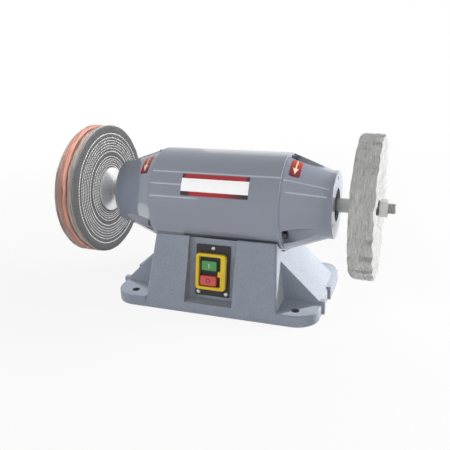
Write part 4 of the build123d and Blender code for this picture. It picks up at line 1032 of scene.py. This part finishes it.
def disc_edge(number, turn):
    """How far a cotton disc's edge reaches: lumpy, frayed, with pits where the discs part."""
    share = (number + 0.5) / COTTON_DISCS
    lumps = wobble(EDGE_LUMPS, turn, share) + wobble(EDGE_BUMPS, turn, share)
    frays = wobble(EDGE_FRAYS, turn, number)
    pits = max(0.0, wobble(EDGE_PITS, turn, share) - PITS_ABOVE)
    worn = max(0.0, -math.sin(FULL_TURN * turn)) ** 2 * (1 - share)
    corner = (CORNER_ROUND + CORNER_WEAR * worn) * abs(2 * share - 1) ** 6
    return WHEEL_R - EDGE_SHORT - corner + lumps + frays - pits


def cotton_disc(number):
    """The shell of one cotton disc, and which of its points are at the rim. Its section runs out along its
    inner side and back along its outer one."""
    last = len(DISC_RADII) - 1
    steps = [*range(last + 1), *range(last, -1, -1)]

    def point(i, turn):
        radius = DISC_RADII[steps[i]]
        near, far = disc_side(number, radius, turn), disc_side(number + 1, radius, turn)
        at_edge = steps[i] == last
        inset = (far - near) * (EDGE_GAP if at_edge else DISC_GAP)
        x = near + inset if i <= last else far - inset
        return round_spindle(x, disc_edge(number, turn) if at_edge else radius, FULL_TURN * turn)

    rims = [float(DISC_RADII[step] > RIM_FROM) for step in steps] * COTTON_STEPS
    return ring_shell(len(steps), COTTON_STEPS, point), rims


def right_wheel():
    """The loose cotton wheel and the lint on its rim."""
    verts, faces, uvs, rims = [], [], [], []
    for number in range(COTTON_DISCS):
        disc, disc_rims = cotton_disc(number)
        start = len(verts)
        verts += disc[0]
        faces += [tuple(start + corner for corner in face) for face in disc[1]]
        uvs += [(u, v + number * DISC_UV_STEP) for u, v in disc[2]]
        rims += disc_rims
    mesh = plain_mesh("right_cotton_wheel", (verts, faces, uvs), ["loose_cotton"])
    mark_points(mesh, "rim", rims)
    wheel = finished("right_cotton_wheel", mesh, "rotor", "loose_cotton", "right_polishing_wheel")
    fibres = {"Density": 420000.0, "Length": 2.8 * MM, "Seed": 11}
    wheel_lint("right_wheel_lint", mesh, "loose_cotton", "loose_cotton", fibres)


# Prints: thin sheets on the barrel and on the caps

PRINT_ROWS = 28
PRINT_LIFT = 0.05 * MM


def rounded_rows(width, height, corner):
    """Rows (v, left u, right u) that fill a rectangle with round corners, from its bottom to its top."""
    rows = []
    for step in range(PRINT_ROWS + 1):
        v = height / 2 * (1 - math.cos(math.pi * step / PRINT_ROWS))
        edge = min(v, height - v)
        inset = 0.0
        if edge < corner:
            inset = corner - math.sqrt(max(0.0, corner ** 2 - (corner - edge) ** 2))
        rows.append((v, inset, width - inset))
    return rows


def closer_rows(rows, reach):
    """The same rows with more between them, so that none is further than reach from the next."""
    filled = [rows[0]]
    for before, after in zip(rows, rows[1:]):
        count = max(1, math.ceil((after[0] - before[0]) / reach))
        for step in range(1, count + 1):
            share = step / count
            filled.append(tuple(a + (b - a) * share for a, b in zip(before, after)))
    return filled


def thin_sheet(name, rows, place, thickness, width, height, finish):
    """A closed sheet over rows of a bent surface, with its UV running from 0 to 1 across it."""
    verts, faces = [], []
    for v, left, right in rows:
        verts += [place(left, v, 0.0), place(left, v, thickness)]
        verts += [place(right, v, thickness), place(right, v, 0.0)]
    spots = [(u / width, v / height) for v, left, right in rows for u in (left, left, right, right)]
    top = 4 * (len(rows) - 1)
    for here in range(0, top, 4):
        for i in range(4):
            after = (i + 1) % 4
            faces.append((here + i, here + after, here + 4 + after, here + 4 + i))
    faces += [(3, 2, 1, 0), (top, top + 1, top + 2, top + 3)]
    uvs = [spots[corner] for face in faces for corner in face]
    return plain_mesh(name, (verts, faces, uvs), [finish])


CAP_RIM_X = 98.3 * MM
CAP_RIM_R = 68.8 * MM
NOSE_EDGE_X = 154.4 * MM
NOSE_R = 48.2 * MM
STICKER_NEAR = 103.2 * MM
STICKER_W = 14.0 * MM
STICKER_SPAN = math.radians(28.5)
STICKER_H = STICKER_SPAN * CAP_RIM_R
STICKER_TOPS = {"left": math.radians(69), "right": math.radians(77)}
STICKER_ROUND = 3.2 * MM
STICKER_THICKNESS = 0.3 * MM
ARROW_MIDDLE = STICKER_W / 2
ARROW_STEM = 0.85 * MM
ARROW_HEAD = 3.7 * MM
ARROW_TIP = 0.13 * STICKER_H
ARROW_NECK = 0.45 * STICKER_H
ARROW_TAIL = 0.97 * STICKER_H
ARROW_LIFT = 0.28 * MM
ARROW_THICKNESS = 0.1 * MM
ARROW_ROW = 1.2 * MM
# Rows of the arrow's two parts: height, and reach to each side of the middle
ARROW_PARTS = {
    "head": ((ARROW_TIP, 0.0), (ARROW_NECK, ARROW_HEAD)),
    "stem": ((ARROW_NECK, ARROW_STEM), (ARROW_TAIL, ARROW_STEM)),
}


def arrow_sticker(name, side):
    """One sticker on a cap, with a raised arrow that points down."""
    bottom = STICKER_TOPS[name] - STICKER_SPAN

    def place(u, v, lift):
        x = STICKER_NEAR + u
        share = (x - CAP_RIM_X) / (NOSE_EDGE_X - CAP_RIM_X)
        radius = CAP_RIM_R + (NOSE_R - CAP_RIM_R) * share
        return round_spindle(side * x, radius + PRINT_LIFT + lift, bottom + v / CAP_RIM_R)

    def raised(u, v, lift):
        return place(u, v, ARROW_LIFT + lift)

    size = (STICKER_W, STICKER_H)
    rows = rounded_rows(*size, STICKER_ROUND)
    sheet = thin_sheet(f"{name}_arrow_sticker", rows, place, STICKER_THICKNESS, *size, "arrow_print")
    finished(f"{name}_arrow_sticker", sheet, "machine", "arrow_print", f"{name}_arrow_label")
    for part, outline in ARROW_PARTS.items():
        rows = [(v, ARROW_MIDDLE - reach, ARROW_MIDDLE + reach) for v, reach in outline]
        rows = closer_rows(rows, ARROW_ROW)
        mark = thin_sheet(f"{name}_arrow_{part}", rows, raised, ARROW_THICKNESS, *size, "cream_print")
        finished(f"{name}_arrow_{part}", mark, "machine", "arrow_print")


PLATE_LOW_ANGLE = math.radians(16)
PLATE_HIGH_ANGLE = math.radians(41.5)
PLATE_ROUND = 1.6 * MM
PLATE_THICKNESS = 0.55 * MM


def name_plate():
    """The bare plate on the barrel, between its two red bars."""
    low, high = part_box("name_plate")
    barrel_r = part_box("motor_housing")[1].z - AXIS_Z
    size = (high.x - low.x, (PLATE_HIGH_ANGLE - PLATE_LOW_ANGLE) * barrel_r)

    def place(u, v, lift):
        return round_spindle(low.x + u, barrel_r + PRINT_LIFT + lift, PLATE_LOW_ANGLE + v / barrel_r)

    rows = rounded_rows(*size, PLATE_ROUND)
    sheet = thin_sheet("bare_name_plate", rows, place, PLATE_THICKNESS, *size, "name_plate_print")
    finished("bare_name_plate", sheet, "machine", "name_plate_print", "name_plate")


# Switch marks

START_TOP = 6.0 * MM
STOP_TOP = 8.5 * MM
MARK_LIFT = 0.2 * MM
LINE_HALF = 0.9 * MM
LINE_TALL = 3.6 * MM
RING_INNER = 2.3 * MM
RING_OUTER = 3.6 * MM
RING_STEPS = 40


def panel_place(joint, top):
    """Places on the front of a button: u to the right, v up and lift outwards."""
    middle = Vector(joints[joint]["pos_m"])
    out = -Vector(joints[joint]["axis"])
    up = out.cross(ALONG_SPINDLE)

    def place(u, v, lift):
        return middle + ALONG_SPINDLE * u + up * v + out * (top + lift)
    return place


def button_marks():
    """The line on the start button and the ring on the stop button."""
    rows = [(-LINE_TALL, -LINE_HALF, LINE_HALF), (LINE_TALL, -LINE_HALF, LINE_HALF)]
    place = panel_place("start_button_press", START_TOP)
    line = thin_sheet("start_line", rows, place, MARK_LIFT, 2 * LINE_HALF, 2 * LINE_TALL, "pale_green_mark")
    finished("start_line", line, "start_key", "green_plastic")
    place_ring = panel_place("stop_button_press", STOP_TOP)
    section = ((RING_OUTER, 0.0), (RING_OUTER, MARK_LIFT), (RING_INNER, MARK_LIFT), (RING_INNER, 0.0))

    def point(i, turn):
        radius, lift = section[i]
        angle = FULL_TURN * turn
        return place_ring(radius * math.cos(angle), radius * math.sin(angle), lift)

    ring = plain_mesh("stop_ring", ring_shell(len(section), RING_STEPS, point), ["deep_red_mark"])
    finished("stop_ring", ring, "stop_key", "red_plastic")


# Screws with a cross recess

SCREW_SHARP_ANGLE = math.radians(35)
SCREW_SEED = 7
# Steps across and up from the middle of the switch plate, in millimetres
SWITCH_SCREW_SPOTS = ((0.0, 32.5), (-21.0, -32.5), (21.0, -32.5))
SWITCH_PLATE_THICKNESS = 1.5 * MM
SWITCH_SCREW = {
    "Head Radius": 3.2 * MM, "Head Height": 2.2 * MM, "Shank Radius": 2.0 * MM, "Shank Length": 6.5 * MM,
}
COVER_SCREW = {
    "Head Radius": 3.5 * MM, "Head Height": 2.5 * MM, "Shank Radius": 2.0 * MM, "Shank Length": 10.0 * MM,
}


def cross_screws(node, spots, sizes, tilt):
    """Screws in place of a node's plain ones, tilted about the spindle's direction from pointing up."""
    seats = wire_mesh(node + "_seats", spots)
    values = {**sizes, "Rotation": (tilt, 0.0, 0.0), "Seed": SCREW_SEED}
    mesh = grow(seats, SCREWS, "bright_steel", values)
    mesh.set_sharp_from_angle(angle=SCREW_SHARP_ANGLE)
    finished(node + "_with_cross", mesh, "machine", "bright_steel", node)


def switch_plate_screws():
    """The three screws of the switch plate."""
    low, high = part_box("switch_plate")
    out = -Vector(joints["start_button_press"]["axis"])
    up = out.cross(ALONG_SPINDLE)
    front = (low + high) / 2 + out * SWITCH_PLATE_THICKNESS / 2
    spots = [front + ALONG_SPINDLE * u * MM + up * v * MM for u, v in SWITCH_SCREW_SPOTS]
    cross_screws("switch_screws", spots, SWITCH_SCREW, math.atan2(-out.y, out.z))


def bottom_cover_screws():
    """The four screws under the base."""
    low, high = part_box("bottom_cover_screws")
    inset, z = COVER_SCREW["Head Radius"], low.z + COVER_SCREW["Head Height"]
    ends = [(low[i] + inset, high[i] - inset) for i in range(2)]
    spots = [(x, y, z) for x in ends[0] for y in ends[1]]
    cross_screws("bottom_cover_screws", spots, COVER_SCREW, math.pi)


# Threads on the free ends of the spindle

THREAD_PITCH = 1.75 * MM
THREAD_START = 0.9 * MM
THREAD_SHORT = 2.2 * MM
RIDGE_R = 6.55 * MM
RIDGE_CREST = 0.62 * MM


def spindle_threads():
    """The ridge of the thread at both free ends."""
    nut_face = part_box("right_spindle_nut")[1].x
    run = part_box("spindle")[1].x - nut_face - THREAD_SHORT
    right_start = nut_face + THREAD_START
    starts = wire_mesh("thread_spots", [(right_start, 0.0, AXIS_Z), (-right_start - run, 0.0, AXIS_Z)])
    mesh = grow(starts, WOUND, "thread_steel", {
        "Radius": RIDGE_R, "Pitch": THREAD_PITCH, "Turns": run / THREAD_PITCH,
        "Crest": RIDGE_CREST, "Sides": 4,
    })
    finished("spindle_threads", mesh, "rotor", "dark_steel")


# Springs behind the buttons

SPRING_R = 4.1 * MM
SPRING_WIRE_R = 0.4 * MM
SPRING_LENGTH = 8.8 * MM
SPRING_TURNS = 3.5


def button_spring(button):
    """A coil that stands in a button's well."""
    joint = joints[f"{button}_press"]
    inward = Vector(joint["axis"]).normalized()
    low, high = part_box(f"{button}_spring")
    seat = (low + high) / 2 + inward * SPRING_LENGTH / 2
    start = wire_mesh(f"{button}_coil_start", [(0.0, 0.0, 0.0)])
    pitch = (SPRING_LENGTH - 2 * SPRING_WIRE_R) / SPRING_TURNS
    mesh = grow(start, WOUND, "bright_steel", {
        "Radius": SPRING_R, "Pitch": pitch, "Turns": SPRING_TURNS, "Crest": SPRING_WIRE_R, "Sides": 10,
    })
    outward = (-inward).to_track_quat("X", "Z").to_matrix().to_4x4()
    mesh.transform(Matrix.Translation(seat - inward * SPRING_WIRE_R) @ outward)
    coil = finished(f"{button}_coil", mesh, "machine", "bright_steel", f"{button}_spring")
    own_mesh(coil)


# Camera

CAMERA_PLACE = Vector((0.2769, -0.7685, 0.3921))
CAMERA_RIGHT = Vector((0.942, 0.3343, -0.0311))
CAMERA_UP = Vector((-0.084, 0.3244, 0.9422))
CAMERA_LENS = {"lens": 45.84, "sensor_width": 36.0, "clip_start": 0.01}


def camera():
    """The camera that stands where the photograph was taken from."""
    data = bpy.data.cameras.new("camera")
    set_all(data, CAMERA_LENS)
    view = new_piece("camera", data)
    right = CAMERA_RIGHT.normalized()
    back = right.cross(CAMERA_UP).normalized()
    turn = Matrix((right, back.cross(right), back)).transposed().to_4x4()
    view.matrix_world = Matrix.Translation(CAMERA_PLACE) @ turn
    bpy.context.scene.camera = view


# Lamps, some of which work on a few pieces alone

GLOSSY = "visible_glossy"
DIFFUSE = "visible_diffuse"
WHITE = (1.0, 1.0, 1.0)
BASE = ("base_casting",)
BASE_SHADERS = ("base_casting", "motor_housing")
FLANGE = ("left_inner_flange",)
HOUSING = ("motor_housing", "left_end_cap", "right_end_cap")
LEFT_WHEEL = ("left_stitched_wheel", "left_wheel_stitches", "left_wheel_lint", "left_inner_flange")
RIGHT_WHEEL = ("right_cotton_wheel", "right_wheel_lint")
SIDE_PLACE = (1.64, 0.6, 0.28)
BEAM_BLEND = 0.7
# What a word in a lamp's row does: which of the lamp's two sets it fills, and with which state
LINKS = {
    "lights": ("receiver_collection", "INCLUDE"),
    "spares": ("receiver_collection", "EXCLUDE"),
    "shaded_by": ("blocker_collection", "INCLUDE"),
    "passes": ("blocker_collection", "EXCLUDE"),
}
# Each lamp's place, its size or a beam's angle and radius, its power, and in some rows a target, a colour,
# the kind of ray that doesn't meet the lamp, and the pieces that it works on
LAMPS = {
    "front_right": {"place": (0.9, -1.6, 0.6), "size": (1.4, 1.0), "power": 6.2, "unseen": GLOSSY},
    "front_left": {"place": (-1.5, -1.2, 0.85), "size": (1.4, 1.0), "power": 15.5, "unseen": GLOSSY},
    "right_side": {
        "place": SIDE_PLACE, "size": (1.0, 1.0), "power": 76.0, "unseen": GLOSSY,
        "spares": LEFT_WHEEL + BASE, "passes": RIGHT_WHEEL,
    },
    "right_shine": {
        "place": SIDE_PLACE, "size": (1.0, 1.0), "power": 16.0, "unseen": DIFFUSE, "passes": RIGHT_WHEEL,
    },
    "wheel_top": {
        "place": (0.55, 0.35, 1.6), "size": (0.8, 0.8), "power": 33.0, "unseen": GLOSSY,
        "lights": LEFT_WHEEL, "shaded_by": LEFT_WHEEL,
    },
    "housing_back": {
        "place": (-0.18, 1.53, 1.05), "size": (0.8, 0.6), "power": 12.0, "unseen": GLOSSY, "lights": HOUSING,
    },
    "back_glow": {"place": (-0.1, 1.6, 0.85), "size": (1.2, 0.85), "power": 1.5, "unseen": DIFFUSE},
    "flange_shine": {
        "place": (0.33, 0.9, 1.23), "target": (-0.19, 0.0, AXIS_Z), "size": (0.6, 0.6), "power": 9.0,
        "lights": FLANGE, "shaded_by": FLANGE,
    },
    "base_top": {
        "place": (-0.5, 0.85, 1.5), "size": (0.6, 0.6), "power": 30.0, "unseen": GLOSSY,
        "lights": BASE, "shaded_by": BASE_SHADERS,
    },
    "base_right": {
        "place": (1.0, 1.22, 0.55), "target": (0.133, 0.0, 0.045), "angle": 7.0, "radius": 0.03,
        "power": 330.0, "colour": (1.0, 0.955, 0.87), "unseen": GLOSSY,
        "lights": BASE, "shaded_by": BASE_SHADERS,
    },
    "plate_front": {
        "place": (0.5, -1.4, 0.9), "size": (0.8, 0.8), "power": 6.0, "unseen": GLOSSY,
        "lights": ("bare_name_plate",),
    },
    "bright_floor": {
        "place": (-0.42, -0.14, 3 * MM), "target": (-0.42, -0.14, 1.0), "size": (0.36, 0.3), "power": 0.45,
        "unseen": DIFFUSE,
    },
}


def piece_set(name, pieces, state):
    """A set of pieces that a lamp works on alone, or leaves out."""
    made = bpy.data.collections.new(name)
    for piece in pieces:
        made.objects.link(nodes.get(piece) or bpy.data.objects[piece])
    for held in made.collection_objects:
        held.light_linking.link_state = state
    return made


def hang(name, row):
    """A lamp as its row says, a rectangle or else a round beam as wide as an angle in degrees. It faces its
    target, or the middle of the spindle, and doesn't show itself to the camera."""
    data = bpy.data.lights.new(name, "AREA" if "size" in row else "SPOT")
    if "size" in row:
        data.shape = "RECTANGLE"
        data.size, data.size_y = row["size"]
    else:
        data.spot_size = math.radians(row["angle"])
        data.spot_blend = BEAM_BLEND
        data.shadow_soft_size = row["radius"]
    data.energy = row["power"]
    data.color = row.get("colour", WHITE)
    lamp = new_piece(name, data)
    place = Vector(row["place"])
    away = place - Vector(row.get("target", MIDDLE))
    lamp.matrix_world = Matrix.Translation(place) @ away.to_track_quat("Z", "Y").to_matrix().to_4x4()
    lamp.visible_camera = False
    if "unseen" in row:
        setattr(lamp, row["unseen"], False)
    for word, (end, state) in LINKS.items():
        if word in row:
            setattr(lamp.light_linking, end, piece_set(f"{name}_{word}", row[word], state))


STRIP_DISTANCE = 1.5
STRIP_WIDTH = 0.1
STRIP_GLOW = 2.4
# Each strip's angle above the spindle in degrees, and its two ends along it
STRIPS = (
    (70.0, -0.84, -0.2), (39.0, -0.84, -0.64), (9.0, -0.84, -0.6), (70.0, 0.4, 1.1), (39.0, 0.75, 1.1),
)


def studio():
    """All the lamps, with thin strips parallel to the spindle that draw lines on the barrel and on the right
    cap. The base doesn't show in the paint of the other pieces."""
    for name, row in LAMPS.items():
        hang(name, row)
    for number, (elevation, near, far) in enumerate(STRIPS):
        middle, rise, length = (near + far) / 2, math.radians(elevation), far - near
        hang(f"strip_{number}", {
            "place": round_spindle(middle, STRIP_DISTANCE, rise), "target": (middle, 0.0, AXIS_Z),
            "size": (length, STRIP_WIDTH), "power": STRIP_GLOW * math.pi * STRIP_WIDTH * length,
        })
    nodes["base_casting"].visible_glossy = False


# World and floor

WORLD_LIGHT = 0.22
FLOOR_HALF = 20.0
FLOOR_DROP = 0.2 * MM
FLOOR_GREY = (0.88, 0.88, 0.88, 1.0)
FLOOR_GLOW = 0.86
FLOOR_NEAR = 0.3
FLOOR_FAR = 1.2


def seen_ray(make):
    """1 for rays that show a surface to the eye: straight, mirrored or through glass."""
    path = make.add("ShaderNodeLightPath").outputs
    either = make.larger(path["Is Camera Ray"], path["Is Glossy Ray"])
    return make.larger(either, path["Is Transmission Ray"])


def world():
    """White where it is seen, and a soft even light."""
    made = bpy.data.worlds.new("studio_white")
    made.use_nodes = True
    make = NodeMaker(made.node_tree)
    back = made.node_tree.nodes["Background"].inputs
    make.feed(back["Color"], (*WHITE, 1.0))
    make.feed(back["Strength"], make.fade(seen_ray(make), 0.0, 1.0, WORLD_LIGHT, 1.0))
    bpy.context.scene.world = made


def floor():
    """A pale floor that glows white far off, keeps the shadow of the machine and is clear from below."""
    finish = Finish("pale_floor", {"Base Color": FLOOR_GREY, "Roughness": 0.9, "Specular IOR Level": 0.0})
    glow = finish.out("ShaderNodeEmission", {"Color": (*WHITE, 1.0), "Strength": 1.0})
    far_off = finish.add("ShaderNodeVectorMath", {0: finish.place}, operation="LENGTH").outputs["Value"]
    bright = finish.fade(far_off, FLOOR_NEAR, FLOOR_FAR, FLOOR_GLOW, 1.0)
    share = finish.times(seen_ray(finish), bright)
    mixed = finish.out("ShaderNodeMixShader", {0: share, 1: finish.shader.outputs[0], 2: glow})
    below = finish.add("ShaderNodeNewGeometry").outputs["Backfacing"]
    clear = finish.out("ShaderNodeBsdfTransparent")
    sided = finish.out("ShaderNodeMixShader", {0: below, 1: mixed, 2: clear})
    finish.feed(finish.tree.nodes["Material Output"].inputs["Surface"], sided)
    mesh = bpy.data.meshes.new("floor")
    signs = ((-1, -1), (1, -1), (1, 1), (-1, 1))
    corners = [(x * FLOOR_HALF, y * FLOOR_HALF, -FLOOR_DROP) for x, y in signs]
    mesh.from_pydata(corners, [], [(0, 1, 2, 3)])
    mesh.materials.append(FINISHES["pale_floor"])
    new_piece("floor", mesh)


dress_solids()
soften("base_casting", width=0.9 * MM)
soften("switch_frame", width=1.2 * MM, segments=3)
for cap in ("left_end_cap", "right_end_cap"):
    soften(cap, width=1.2 * MM, from_angle=24.0)
left_wheel()
right_wheel()
for side_name, side_sign in (("left", -1), ("right", 1)):
    arrow_sticker(side_name, side_sign)
name_plate()
button_marks()
switch_plate_screws()
bottom_cover_screws()
spindle_threads()
button_spring("start_button")
button_spring("stop_button")
camera()
studio()
world()
floor()
bpy.context.scene.view_settings.view_transform = "Standard"
